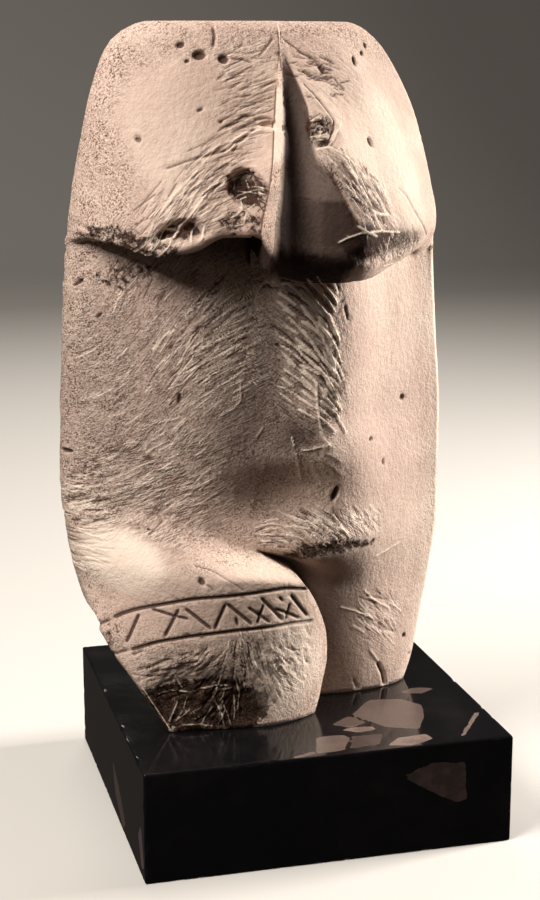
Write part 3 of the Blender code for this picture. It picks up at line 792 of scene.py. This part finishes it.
# Pits: x, z, half width, half height, turn, depth
PITS = (
    (-60, 358, 2.2, 1.4, 20, 1.4), (-51, 353, 3.4, 2.2, 10, 2.4), (-57.5, 350, 1.4, 0.9, 20, 1),
    (-84, 311.5, 1.5, 1.3, 0, 1.3), (-53, 326, 1.8, 0.8, 25, 0.9), (-39, 351, 2.6, 2.2, 0, 2),
    (12.5, 345.5, 2.6, 1.2, -40, 1.2), (39, 354, 1, 1.3, 0, 1.1), (42, 358, 0.8, 1.6, 20, 1),
    (33, 350, 1.1, 2.4, 15, 1.3), (37, 309, 1.1, 2.6, 28, 1.4), (69, 166, 1.6, 1.7, 0, 1.4),
    (44, 148, 1.3, 1.2, 0, 1.4), (54, 133, 1, 1.9, 0, 0.8), (21, 121, 1.8, 4.2, -18, 2.6),
    (-65, 178, 1, 3, -8, 1.1), (-43, 320, 1.2, 0.6, 20, 0.7), (72, 26, 1.3, 1.3, 0, 1.2),
    (76, 14, 1.2, 0.8, 0, 0.8), (-59, 84.5, 1.7, 2.2, 20, 1.6), (-82, 108, 1, 0.6, 0, 0.6),
    (-70, 266, 3.4, 2.2, 10, 2.2), (-76, 265, 2, 1.5, 0, 1.6), (-62, 269, 2.6, 2, 0, 1.4),
    (-112, 235, 2.4, 1, 20, 1.2), (-103, 217, 1.8, 0.8, 25, 1), (-120, 146, 2.6, 1.2, 0, 1.2),
    (-112.5, 57.5, 2.4, 4.5, 15, 2.2),
)


# What the marks do to the skin

def from_line(x, z, points, reach):
    """Which vertices are within reach of a line, how far from it, and how far from its nearer end."""
    points = np.asarray(points, float)
    low, high = points.min(0) - reach, points.max(0) + reach
    near = np.flatnonzero((x > low[0]) & (x < high[0]) & (z > low[1]) & (z < high[1]))
    start, step = points[:-1], np.diff(points, axis=0)
    length = np.hypot(*step.T)
    way = step / length[:, None]
    offset = np.stack([x[near], z[near]], -1)[:, None] - start
    ahead = np.clip((offset * way).sum(-1), 0, length)
    distance = np.hypot(*(offset - ahead[..., None] * way).transpose(2, 0, 1))
    best = distance.argmin(1) if len(near) else np.zeros(0, int)
    row = np.arange(len(near))
    past = np.concatenate([[0], length.cumsum()[:-1]])
    run = past[best] + ahead[row, best]
    return near, distance[row, best], np.minimum(run, length.sum() - run)


def spot(x, z, at_x, at_z, wide, high, turn=0.0, soft=0.35):
    """1 inside a turned oval, falling to 0 past its edge."""
    return oval(x, z, at_x, at_z, wide, high, turn, 1 - soft, 1 + soft)


def carve(x, z):
    """Relief in units, and each vertex's painted highlight and painted shade, from the strokes, lines and
    pits.
    """
    relief, painted_highlight, painted_dark = np.zeros((3, len(x)))
    for points, width, height, light, shade in all_lines():
        near, distance, inside = from_line(x, z, points, width)
        line = (1 - distance / (0.8 * width)).clip(0, 1) * smooth(0.2 + inside / (2 * width))
        relief[near] += height * line
        painted_highlight[near] = np.maximum(painted_highlight[near], light * line)
        painted_dark[near] = np.maximum(painted_dark[near], shade * line)
    for at_x, at_z, wide, high, turn, depth in PITS:
        hole = spot(x, z, at_x, at_z, wide, high, turn)
        relief -= depth * hole
        # the pits are painted dark as shade
        painted_dark = np.maximum(painted_dark, hole)
    return relief, painted_highlight, painted_dark


# Materials

class Nodes:
    """Short calls for making a material out of nodes."""

    def __init__(self, name):
        self.material = bpy.data.materials.new(name)
        self.material.use_nodes = True
        self.tree = self.material.node_tree
        self.shader = self.tree.nodes["Principled BSDF"]
        self.place = self.tree.nodes.new("ShaderNodeTexCoord").outputs["Object"]

    def node(self, kind, values, **settings):
        """A node with these settings, and a value or a link for each named or numbered socket."""
        made = self.tree.nodes.new("ShaderNode" + kind)
        for name, value in settings.items():
            setattr(made, name, value)
        for socket, value in values.items():
            self.put(made.inputs[socket], value)
        return made

    def put(self, socket, value):
        if isinstance(value, bpy.types.NodeSocket):
            self.tree.links.new(value, socket)
        else:
            socket.default_value = value

    def attribute(self, name):
        return self.node("Attribute", {}, attribute_name=name).outputs["Fac"]

    def noise(self, size, detail, rough, place=None):
        values = {"Vector": place or self.place, "Scale": 1.0 / size, "Detail": detail, "Roughness": rough}
        return self.node("TexNoise", values).outputs["Fac"]

    def streaks(self, angle, length, width):
        """Noise drawn out along a line that rises by an angle in degrees from the right of the front."""
        turn, scale = (0.0, -radians(angle), 0.0), (length, 3 * width, width)
        values = {"Vector": self.place, "Rotation": turn, "Scale": scale}
        drawn = self.node("Mapping", values, vector_type="TEXTURE").outputs["Vector"]
        return self.noise(1.0, 2.0, 0.6, drawn)

    def math(self, operation, a, b):
        return self.node("Math", {0: a, 1: b}, operation=operation).outputs[0]

    def times(self, a, b):
        return self.math("MULTIPLY", a, b)

    def plus(self, a, b):
        return self.math("ADD", a, b)

    def ramp(self, value, start, end, low=0.0, high=1.0):
        values = {"Value": value, "From Min": start, "From Max": end, "To Min": low, "To Max": high}
        return self.node("MapRange", values, interpolation_type="SMOOTHSTEP").outputs[0]

    def mix(self, share, a, b):
        return self.node("Mix", {0: share, 6: a, 7: b}, data_type="RGBA").outputs[2]

    def mix_value(self, share, a, b):
        return self.node("Mix", {0: share, 2: a, 3: b}, data_type="FLOAT").outputs[0]

    def bump(self, height, distance, strength):
        values = {"Height": height, "Distance": distance, "Strength": strength}
        return self.node("Bump", values).outputs["Normal"]

    def finish(self, base, rough, normal, specular):
        """Sets the shader's inputs and gives back the material."""
        sockets = ("Base Color", "Roughness", "Normal", "Specular IOR Level")
        for name, value in zip(sockets, (base, rough, normal, specular)):
            self.put(self.shader.inputs[name], value)
        return self.material


def colour(red, green, blue):
    return (red, green, blue, 1.0)


def carved_stone():
    make = Nodes("carved stone")
    grain, crust, painted_shade = (make.attribute(name) for name in ("grain", "crust", "painted_shade"))
    painted_highlight, cut_shade = (make.ramp(make.attribute(name), 0.1, 1.0) for name in ("painted_highlight", "cut_shade"))
    fine = make.noise(1.1 * MM, 3.0, 0.65)
    coarse = make.noise(3.2 * MM, 4.0, 0.65)
    blotch = make.noise(34 * MM, 4.0, 0.6)
    cloud = make.noise(90 * MM, 2.0, 0.5)
    base = make.mix(make.ramp(blotch, 0.38, 0.62), colour(0.71, 0.545, 0.45), colour(0.59, 0.435, 0.355))
    base = make.mix(make.ramp(cloud, 0.45, 0.65, 0.0, 0.6), base, colour(0.65, 0.45, 0.38))
    # Dark pores between pale grains, most of all on the raw faces
    uneven = make.ramp(make.noise(8 * MM, 4.0, 0.65), 0.36, 0.60, 0.25, 1.1)
    pores = make.times(make.ramp(fine, 0.51, 0.40), make.ramp(grain, 0.0, 1.0, 0.04, 0.95))
    base = make.mix(make.times(pores, uneven), base, colour(0.13, 0.058, 0.034))
    glints = make.times(make.ramp(fine, 0.55, 0.64), make.ramp(grain, 0.0, 1.0, 0.05, 0.7))
    base = make.mix(glints, base, colour(0.88, 0.76, 0.66))
    # Fine rasp marks, drawn out the way the tool ran
    height = make.times(fine, make.ramp(grain, 0.0, 1.0, 0.08, 1.0))
    patchy = make.ramp(make.noise(13 * MM, 3.0, 0.6), 0.40, 0.60, 0.25, 1.0)
    for angle in RASP_ANGLES:
        share = make.times(make.attribute(f"rasp {angle}"), patchy)
        drawn = make.streaks(angle, 9 * MM, 0.7 * MM)
        base = make.mix(make.times(make.ramp(drawn, 0.49, 0.38), share), base, colour(0.15, 0.075, 0.055))
        base = make.mix(make.times(make.ramp(drawn, 0.53, 0.62), share), base, colour(0.86, 0.74, 0.64))
        height = make.plus(height, make.times(make.times(drawn, share), 1.6))
    # Painted shade: the scoop, the hollows, the belly under the breasts and the shaded thigh darkened in
    # colour
    painted_shade_share = make.times(painted_shade, make.ramp(blotch, 0.3, 0.6, 1.0, 0.98))
    base = make.mix(painted_shade_share, base, colour(0.022, 0.010, 0.008))
    # Brown crust left in the breaks
    broken = make.plus(crust, make.times(make.math("SUBTRACT", coarse, 0.5), 2.2))
    broken = make.times(make.ramp(broken, 0.25, 0.75), make.ramp(crust, 0.0, 0.35))
    brown = make.mix(make.ramp(fine, 0.44, 0.60), colour(0.011, 0.005, 0.003), colour(0.075, 0.036, 0.023))
    base = make.mix(make.times(broken, 0.97), base, brown)
    # Painted shade in the cuts and pits, and painted highlights on the ridges and on faces where light falls
    base = make.mix(make.times(cut_shade, 0.9), base, colour(0.055, 0.020, 0.013))
    base = make.mix(make.times(painted_highlight, 0.9), base, colour(0.97, 0.80, 0.67))
    return make.finish(
        base,
        make.mix_value(broken, make.ramp(fine, 0.3, 0.7, 0.66, 0.88), 0.6),
        make.bump(make.plus(height, coarse), 0.8 * MM, 1.0),
        make.mix_value(make.math("MAXIMUM", painted_shade, broken), 0.35, 0.12),
    )


def polished_stone():
    make = Nodes("polished stone")
    inside, tone = make.attribute("clast"), make.attribute("tone")
    fine = make.noise(1.2 * MM, 4.0, 0.6)
    coarse = make.noise(7 * MM, 4.0, 0.6)
    cloud = make.noise(45 * MM, 4.0, 0.6)
    base = make.mix(make.ramp(cloud, 0.45, 0.75), colour(0.004, 0.004, 0.005), colour(0.009, 0.008, 0.009))
    jagged = make.plus(inside, make.times(make.math("SUBTRACT", coarse, 0.5), 2.2))
    edge = make.ramp(jagged, -0.12, 0.12)
    clast = make.mix(tone, colour(0.018, 0.014, 0.013), colour(0.26, 0.195, 0.165))
    clast = make.mix(make.ramp(fine, 0.35, 0.6, 0.5, 0.0), clast, colour(0.05, 0.03, 0.028))
    clast = make.mix(make.ramp(coarse, 0.42, 0.62, 0.0, 0.55), clast, colour(0.10, 0.06, 0.055))
    return make.finish(
        make.mix(edge, base, clast),
        make.mix_value(edge, make.ramp(cloud, 0.3, 0.7, 0.07, 0.16), 0.28),
        make.bump(cloud, 0.25 * MM, 0.3),
        0.4,
    )


def floor_material():
    make = Nodes("floor")
    make.shader.inputs["Base Color"].default_value = colour(0.66, 0.64, 0.61)
    make.shader.inputs["Roughness"].default_value = 0.9
    return make.material


# How the torso's skin is worked from place to place

def spots(x, z, *ovals):
    """The sum of several spots, each given as its strength and what spot takes."""
    return sum(strength * spot(x, z, *oval) for strength, *oval in ovals)


def layers(points, *parts):
    """The sum of several noises, each given as its height, size and seed."""
    return sum(height * noise(points, size, seed) for height, size, seed in parts)


def granular(x, z, forward):
    """How coarse the stone's own grain is, from 0 on rubbed faces to 1 on the raw ones."""
    left, right, ridge = left_side(z), right_side(z), seam(z)
    chest = z > np.where(x > ridge, right_breast_edge(x), left_breast_edge(x))
    front = np.where(chest, 0.22, 0.5)
    front = np.where(~chest & (x < 20), 0.62, front)
    front = mix(front, 0.3, ramp(x, 22, 34) * ~chest)
    front = mix(front, 0.95, (1 - ramp(x, left + 14, left + 36)) * ramp(z, 48, 70))
    front = mix(front, 0.42, ramp(x, right - 16, right - 6))
    front = mix(front, 0.65, ramp(z, 348, 360))
    rubbed = spots(
        x, z, (1, -92, 98, 26, 13), (1, -30, 75, 60, 12), (0.4, 26, 62, 26, 26), (0.6, -10, 34, 20, 26),
        (0.8, -48, 68, 62, 18), (1, -70, 322, 24, 26), (1, -30, 308, 16, 8), (1, 58, 300, 20, 40),
    )
    front = mix(front, 0.15, rubbed.clip(0, 1))
    scoop = ramp(x, ridge, ridge + 3) * (1 - ramp(x, 4, 14)) * chest * (1 - ramp(z, 335, 350))
    front = mix(front, 0.03, scoop)
    front = np.where(np.abs(x - ridge) < WALL, RAW, front)
    return np.where(forward > 0.5, front, RAW)


def crusted(x, z, forward):
    """Where a dark brown crust is left in the breaks and hollows. Noise makes the outlines ragged."""
    flat = np.stack([x, z, 0 * x], -1)
    off_wall = ramp(np.abs(x - seam(z)), WALL, WALL + 1)
    x, z = x + layers(flat, (4, 7, 11), (1.6, 2.6, 12)), z + layers(flat, (3, 7, 13), (1.2, 2.6, 14))
    crust = spots(
        x, z, (0.6, -33, 287, 9, 8), (0.5, -35, 269, 12, 7, -5), (0.9, -67, 265.5, 15, 4, 10),
        (0.5, 7.5, 309.5, 4, 2.5), (0.3, 24, 283, 24, 7, -50), (1, -60, 13, 32, 16, -8),
        (1, -42, 12, 22, 11), (0.2, -34, 34, 18, 18), (0.8, 18, 90, 32, 4, 2), (0.25, -30, 150, 26, 5, 4),
        (0.6, -90, 258.5, 24, 4.5, -16), (0.35, 22, 214, 4, 26), (0.3, -86, 265, 18, 5, -14),
        (0.4, -108, 52, 7, 12, 30), (0.5, -90, 232, 14, 6, 10),
    )
    return crust.clip(0, 1) * (forward > 0.5) * off_wall


def scoop_edge(z):
    """x of the line where the scoop beside the prow ends."""
    return curve(
        z, (245, 16), (256, 22), (270, 20), (276, 16.5), (285, 12), (293, 9), (302, 2), (327, 0),
        (337, -2.5), (352, -7),
    )


def painted_shade_map(x, z, forward):
    """Painted shade: how far the colour is darkened to stand for shade, in the smooth scoop beside the prow,
    under the breasts' edges, on the belly, on the right thigh, at the foot of the prow and in the hollows.
    """
    ridge = seam(z) + WALL
    right_breast = z > right_breast_edge(x)
    upper = mix(1.0, 0.95, ramp(z, 285, 325))
    lower = mix(mix(0.925, 0.985, ramp(x, 0, 5)), 0.85, ramp(z, 280.5, 283))
    scoop = mix(upper, lower, ramp(x, ridge + 5, ridge + 22)) * ramp(x, ridge - 0.2, ridge + 0.6)
    scoop = scoop * (1 - ramp(x, scoop_edge(z) - 1, scoop_edge(z) + 2))
    scoop = scoop * mix(0.75, 1.0, ramp(z, 248, 262)) * (1 - ramp(z, 345, 362)) * right_breast
    below = spots(x, z, (1, 22, 262, 9, 9, -50, 0.3), (0.95, 32, 259, 34, 6, 0, 0.5))
    below = below + 0.6 * spot(x, z, 27, 282, 28, 9, -47, 0.6) * right_breast
    belly = spots(
        x, z, (0.4, -22, 160, 24, 40, 0, 0.9), (0.3, 7, 203, 14, 38, 14, 0.3),
        (0.25, -70, 190, 60, 60, 0, 0.6), (0.7, -30, 246, 50, 9, -4, 0.8), (0.5, 0, 156, 10, 9, 0, 0.8),
    )
    leg = 0.7 * spot(x, z, 14, 55, 28, 45, 0, 0.6) * (z < 92) * (x > seam(z))
    wall = 0.97 * (np.abs(x - seam(z)) < WALL + 0.5) * (1 - ramp(z, 249, 262)) * (z > 236)
    breaks = spots(
        x, z, (0.93, -32, 286, 8, 7), (0.6, -67, 266.5, 12, 3.5, 10), (0.9, 7, 310, 4, 2),
        (0.6, 6.6, 317, 5, 4, 0, 0.6),
    )
    painted_dark = np.maximum(scoop, below) + belly * (z < left_breast_edge(x)) + leg + wall + breaks
    return painted_dark.clip(0, 1) * (forward == 1)


def painted_highlight_map(x, z, forward):
    """Painted highlights: where the colour is made pale to stand for light falling on the hip, the right
    breast and side, the left thigh's lower right, the upper left breast, the prow's narrow facet and the
    right rim.
    """
    painted_highlight = spots(
        x, z, (1.3, -97, 92, 19, 15, -10, 0.6), (0.6, 50, 302, 18, 40, 20, 0.5),
        (0.35, 56, 190, 26, 70, 0, 0.5), (0.9, -10, 33, 20, 26, 0, 0.6), (0.3, -72, 320, 34, 34, 0, 0.6),
    )
    facet = 0.75 * (np.abs(x - seam(z)) < WALL + 0.2) * ramp(z, 294, 304) * (1 - ramp(z, 332, 344))
    rim = 0.5 * ramp(x, right_side(z) - 16, right_side(z) - 3) * (1 - ramp(z, 245, 260))
    return (painted_highlight + facet + rim).clip(0, 1) * (forward == 1)


def rasped(x, z, forward):
    """How strongly the fine rasp marks show."""
    breast = spots(x, z, (0.7, -62, 276, 46, 13, 25, 0.6), (0.4, -28, 335, 18, 30))
    elsewhere = spots(
        x, z, (0.5, -60, 190, 66, 52, 0, 0.45), (1, 2, 200, 24, 50, 8, 0.4), (0.8, -78, 128, 44, 30),
        (1, 27, 284, 28, 12, -47, 0.7), (1, 44, 254, 28, 8), (0.5, 16, 344, 22, 14, -20),
        (0.7, -32, 32, 26, 24, -6), (0.4, 56, 40, 18, 18), (0.8, 16, 100, 36, 12),
    )
    smooth_patch = spot(x, z, -27, 305, 12, 9, 15)
    front = mix(0.10, 0.02, ramp(x, 18, 34)) + breast * (1 - smooth_patch) + elsewhere
    return np.where(forward == 1, front.clip(0, 1), 0.3)


def roughness(points, x, z, front, grain, crust):
    """How far the grain, the weathered edge and the crust stand out, in units."""
    lumps = layers(points, (0.14, 2.6, 1), (0.18, 6.0, 2)) * grain
    waves = 0.35 * noise(points, 22.0, 3) * (0.3 + grain)
    weathered = spots(
        x, z, (1, -110, 246, 12, 26, 0, 0.6), (1, -97, 259, 26, 6, -14, 0.5),
        (0.5, -120, 150, 10, 60, 0, 0.6), (0.6, -72, 40, 20, 10, 0, 0.6),
    )
    crumbled = 0.8 * weathered * front * layers(points, (1, 2.2, 6), (0.5, 5.0, 7))
    return lumps + waves + crumbled + crust * (layers(points, (0.8, 2.4, 4), (0.6, 7.0, 5)) - 0.7)


# Torso

def near_strokes(reach):
    """A test for places within reach of a stroke or a line, on a raster of whole units."""
    x, z = (side.ravel() for side in np.meshgrid(RASTER_X, RASTER_Z))
    hit = np.zeros(x.size, bool)
    for points, width, *_ in all_lines():
        near, distance, _ = from_line(x, z, points, width + reach)
        hit[near] |= distance < width + reach
    for at_x, at_z, wide, high, *_ in PITS:
        hit |= np.hypot(x - at_x, z - at_z) < max(wide, high) + 1
    hit = hit.reshape(len(RASTER_Z), len(RASTER_X))

    def wanted(at_x, at_z):
        column = np.rint(at_x - RASTER_X[0]).astype(int).clip(0, len(RASTER_X) - 1)
        row = np.rint(at_z - RASTER_Z[0]).astype(int).clip(0, len(RASTER_Z) - 1)
        return hit[row, column]

    return wanted


def everywhere(at_x, at_z):
    return np.full(len(at_x), True)


def smooth_torso():
    """The torso before its marks, finer near them, with each vertex's place, point and normal."""
    places, faces = coarse_torso()
    mesh = bpy.data.meshes.new("carved_torso")
    mesh.from_pydata((skin(places) * UNIT).tolist(), [], faces)
    work = bmesh.new()
    work.from_mesh(mesh)
    bmesh.ops.recalc_face_normals(work, faces=work.faces[:])
    layer = work.verts.layers.float_vector.new("place")
    for vertex, place in zip(work.verts, places):
        vertex[layer] = place
    for wanted in (everywhere, near_strokes(FIRST_REACH), near_strokes(SECOND_REACH)):
        refine(work, wanted)
    place = stored(work)
    points = skin(place)
    for vertex, point in zip(work.verts, points):
        vertex.co = point * UNIT
    work.normal_update()
    normals = np.array([vertex.normal for vertex in work.verts])
    work.to_mesh(mesh)
    work.free()
    return mesh, place, points, normals


def make_torso():
    mesh, place, points, normals = smooth_torso()
    x, z, forward = place.T
    front = forward == 1
    grain, crust = granular(x, z, forward), crusted(x, z, forward)
    relief, painted_highlight, painted_dark = carve(x, z)
    from_wall = np.abs(x - seam(z)) - WALL
    off_wall = (from_wall > SEAM_GAP) | (z > PROW_TOP)
    relief = relief * smooth(from_wall / SEAM_FADE) * front + roughness(points, x, z, front, grain, crust)
    # The base and the flat cut stay level
    relief = relief * ramp(z, 0.0, 1.5) * (1 - ramp(z, TOP - 0.5, TOP))
    points = (points + normals * relief[:, None]) * UNIT + [0.0, 0.0, TORSO_LOW.z]
    set_places(mesh, points)
    # painted highlights: the marks' ridges and the faces where light falls made pale
    set_attribute(mesh, "painted_highlight", np.maximum(painted_highlight * off_wall * front, 0.92 * painted_highlight_map(x, z, forward)))
    # painted shade in the cuts and pits
    set_attribute(mesh, "cut_shade", painted_dark * off_wall * front)
    set_attribute(mesh, "grain", grain)
    set_attribute(mesh, "crust", crust)
    # painted shade in the scoop, the hollows and under the breasts
    set_attribute(mesh, "painted_shade", painted_shade_map(x, z, forward))
    way, rasp = flow(x, z), rasped(x, z, forward)
    for angle in RASP_ANGLES:
        turned = np.abs((way - angle + 90) % 180 - 90)
        set_attribute(mesh, f"rasp {angle}", rasp * (1 - turned / RASP_SPREAD).clip(0, 1) ** 0.5)
    torso = add_object("carved_torso", mesh)
    mesh.materials.append(carved_stone())
    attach(torso, "root")
    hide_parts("torso")


# Plinth

# Pieces of other stone in the block, as x, y of the corners on one of its faces in millimetres, and how
# pale each is. The top is seen from above, the others from outside, to the right and up from their middle.
CLASTS = {
    "top": (
        ((26, -49, 42, -30, 60, -33, 68, -45, 64, -60, 55, -78, 38, -70), 0.42),
        ((10, -60, 24, -50, 30, -62, 20, -66), 0.30),
        ((14, -69, 19, -66, 32, -68, 33, -72, 22, -74), 0.85),
        ((-2, -74, 13, -75, 15, -80, 7, -95, -8, -96), 0.55),
        ((17, -78, 34, -79, 28, -92, 11, -94), 0.14),
        ((31, -95, 40, -86, 56, -85, 58, -92, 44, -98), 0.9),
        ((73, -92, 75, -93, 95, -64, 93, -62), 0.8),
        ((-22, -97, -10, -93, -8, -96, -20, -99), 0.5),
        ((62, -24, 72, -18, 84, -22, 74, -28), 0.35),
    ),
    "front": (((38, 14, 55, 20, 73, 18, 74, -3, 68, -4, 50, 6), 0.12),),
    "left": (
        ((4, 0, 24, -9, 43, -22, 36, -28, 12, -18), 0.30),
        ((82, -10, 90, -2, 97, -22, 90, -26), 0.45),
    ),
    "right": (
        ((-60, 8, -47, 17, -36, 15, -22, 2, -30, -10, -44, -12), 0.25),
        ((20, -6, 31, 5, 44, 3, 52, -14, 40, -18, 30, -20), 0.4),
    ),
    "back": (
        ((-70, -8, -61, 4, -52, 6, -40, -6, -46, -16, -58, -18), 0.3),
        ((30, 10, 40, 19, 52, 17, 60, 2, 50, -5, 38, -4), 0.2),
    ),
}


def plinth_lines(low, high):
    """Places of the grid lines between two faces of the block, closer together at its edges."""
    start, end = low + CLOSE_LINES, high - CLOSE_LINES
    inner = np.linspace(start[-1], end[-1], max(3, round((high - low) / PLINTH_STEP)))
    return np.concatenate([start[:-1], inner, end[:-1][::-1]])


def inside_shape(u, v, corners):
    """How far inside a shape a place is, in millimetres, and minus how far outside."""
    corners = np.reshape(corners, (-1, 2)).astype(float)
    nearest = np.full(len(u), np.inf)
    odd = np.zeros(len(u), bool)
    for (ax, ay), (bx, by) in zip(corners, np.roll(corners, -1, axis=0)):
        along = ((u - ax) * (bx - ax) + (v - ay) * (by - ay)) / ((bx - ax) ** 2 + (by - ay) ** 2)
        along = along.clip(0, 1)
        nearest = np.minimum(nearest, np.hypot(u - mix(ax, bx, along), v - mix(ay, by, along)))
        if ay != by:
            odd ^= ((ay > v) != (by > v)) & (u < ax + (v - ay) * (bx - ax) / (by - ay))
    return np.where(odd, nearest, -nearest)


def plinth_block(low, high):
    """The sharp-edged block as a mesh of closely spaced lines."""
    lines = [plinth_lines(a, b) for a, b in zip(low, high)]
    work = bmesh.new()
    for axis in range(3):
        u, v = [k for k in range(3) if k != axis]
        for end in (low, high):
            a, b = np.meshgrid(lines[u], lines[v], indexing="ij")
            points = np.zeros((*a.shape, 3))
            points[..., u], points[..., v], points[..., axis] = a, b, end[axis]
            verts = [work.verts.new(point) for point in points.reshape(-1, 3)]
            for face in quads(np.arange(a.size).reshape(a.shape)):
                work.faces.new([verts[i] for i in face])
    bmesh.ops.remove_doubles(work, verts=work.verts[:], dist=MM / 1000)
    bmesh.ops.recalc_face_normals(work, faces=work.faces[:])
    mesh = bpy.data.meshes.new("polished_plinth")
    work.to_mesh(mesh)
    work.free()
    return mesh


def worn(points, low, high):
    """Where the block's points go when its edges are rounded over and chipped. The base stays level."""
    core = points.clip(low + EDGE, high - EDGE)
    out = points - core
    length = np.linalg.norm(out, axis=1, keepdims=True)
    moved = core + out / length.clip(1e-9) * np.minimum(length, EDGE)
    off_edge = np.sort(np.minimum(points - low, high - points), axis=1)[:, 1] / EDGE
    chip = ramp(layers(points / MM, (1, 4.0, 21), (0.5, 1.8, 22)), 0.55, 0.95)
    chip = chip * (1 - ramp(off_edge, 0.3, 2.4))
    near_face = np.minimum(moved - low, high - moved) < 2.5 * EDGE
    inward = np.sign(0.5 * (low + high) - moved) * near_face
    moved = moved + inward * chip[:, None] * CHIP
    at_base = points[:, 2] < low[2] + HAIR
    moved[:, 2] = np.where(at_base, np.maximum(moved[:, 2], low[2]), moved[:, 2])
    return moved


def other_stone(points, low, high):
    """How far inside a piece of other stone each point is, and how pale that piece is."""
    x, y, z = ((points - [0, 0, 0.5 * (low[2] + high[2])]) / MM).T
    faces = {
        "top": (x, y, points[:, 2] > high[2] - HAIR),
        "front": (x, z, points[:, 1] < low[1] + HAIR),
        "left": (-y, z, points[:, 0] < low[0] + HAIR),
        "right": (y, z, points[:, 0] > high[0] - HAIR),
        "back": (-x, z, points[:, 1] > high[1] - HAIR),
    }
    clast, tone = np.full(len(points), OUTSIDE), np.zeros(len(points))
    for face, (u, v, there) in faces.items():
        for corners, paleness in CLASTS[face]:
            inside = np.where(there, inside_shape(u, v, corners), OUTSIDE)
            closer = inside > clast
            clast, tone = np.where(closer, inside, clast), np.where(closer, paleness, tone)
    return clast, tone


def make_plinth():
    low, high = np.array(PLINTH_LOW), np.array(PLINTH_HIGH)
    mesh = plinth_block(low, high)
    flat = np.zeros(len(mesh.vertices) * 3, np.float32)
    mesh.vertices.foreach_get("co", flat)
    points = flat.reshape(-1, 3).astype(float)
    clast, tone = other_stone(points, low, high)
    set_places(mesh, worn(points, low, high))
    set_attribute(mesh, "clast", clast)
    set_attribute(mesh, "tone", tone)
    plinth = add_object("polished_plinth", mesh)
    mesh.materials.append(polished_stone())
    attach(plinth, "root")
    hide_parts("plinth")


# Floor, light and camera

def away(azimuth, elevation):
    """The way from the middle out to a place at these angles, in radians."""
    level = cos(elevation)
    return Vector((sin(azimuth) * level, -cos(azimuth) * level, sin(elevation)))


def make_lamps():
    for name, azimuth, elevation, distance, size, power in LAMPS:
        light = bpy.data.lights.new(name, "AREA")
        light.energy, light.size, light.color = power, size, LAMP_COLOUR
        lamp = add_object(name, light)
        way = away(radians(azimuth), radians(elevation))
        lamp.location = LAMP_AIM + way * distance
        lamp.rotation_euler = (-way).to_track_quat("-Z", "Y").to_euler()


def make_floor():
    """A pale studio sweep: a flat floor that curves up into a wall far behind."""
    bend = np.linspace(0, np.pi / 2, 13)
    curved = zip(BEND_START + BEND_RADIUS * np.sin(bend), BEND_RADIUS - BEND_RADIUS * np.cos(bend))
    profile = [(FLOOR_FRONT, 0.0), *curved, (BEND_START + BEND_RADIUS, WALL_TOP)]
    corners = [(x, y, z) for y, z in profile for x in (-FLOOR_HALF_WIDTH, FLOOR_HALF_WIDTH)]
    faces = [(i, i + 1, i + 3, i + 2) for i in range(0, len(corners) - 2, 2)]
    mesh = bpy.data.meshes.new("floor")
    mesh.from_pydata(corners, [], faces)
    mesh.shade_smooth()
    floor = add_object("floor", mesh)
    mesh.materials.append(floor_material())
    floor.visible_diffuse = floor.visible_glossy = False


def make_world():
    world = bpy.data.worlds.new("studio")
    bpy.context.scene.world = world
    world.use_nodes = True
    background = world.node_tree.nodes["Background"]
    background.inputs["Color"].default_value = colour(1.0, 0.84, 0.72)
    background.inputs["Strength"].default_value = 0.045


def make_camera():
    """The photograph's view, worked out from the block's corners."""
    lens = bpy.data.cameras.new("camera")
    lens.sensor_width = SENSOR
    lens.lens = FOCAL_PIXELS / PHOTO_PIXELS * SENSOR
    camera = add_object("camera", lens)
    back = away(CAMERA_AZIMUTH, CAMERA_ELEVATION)
    right = Vector((cos(CAMERA_AZIMUTH), sin(CAMERA_AZIMUTH), 0.0))
    turn = Matrix((right, back.cross(right), back)).transposed().to_4x4()
    camera.matrix_world = Matrix.Translation(CAMERA_PLACE) @ turn
    bpy.context.scene.camera = camera


make_torso()
make_plinth()
make_floor()
make_lamps()
make_world()
make_camera()
bpy.context.scene.view_settings.view_transform = "Standard"
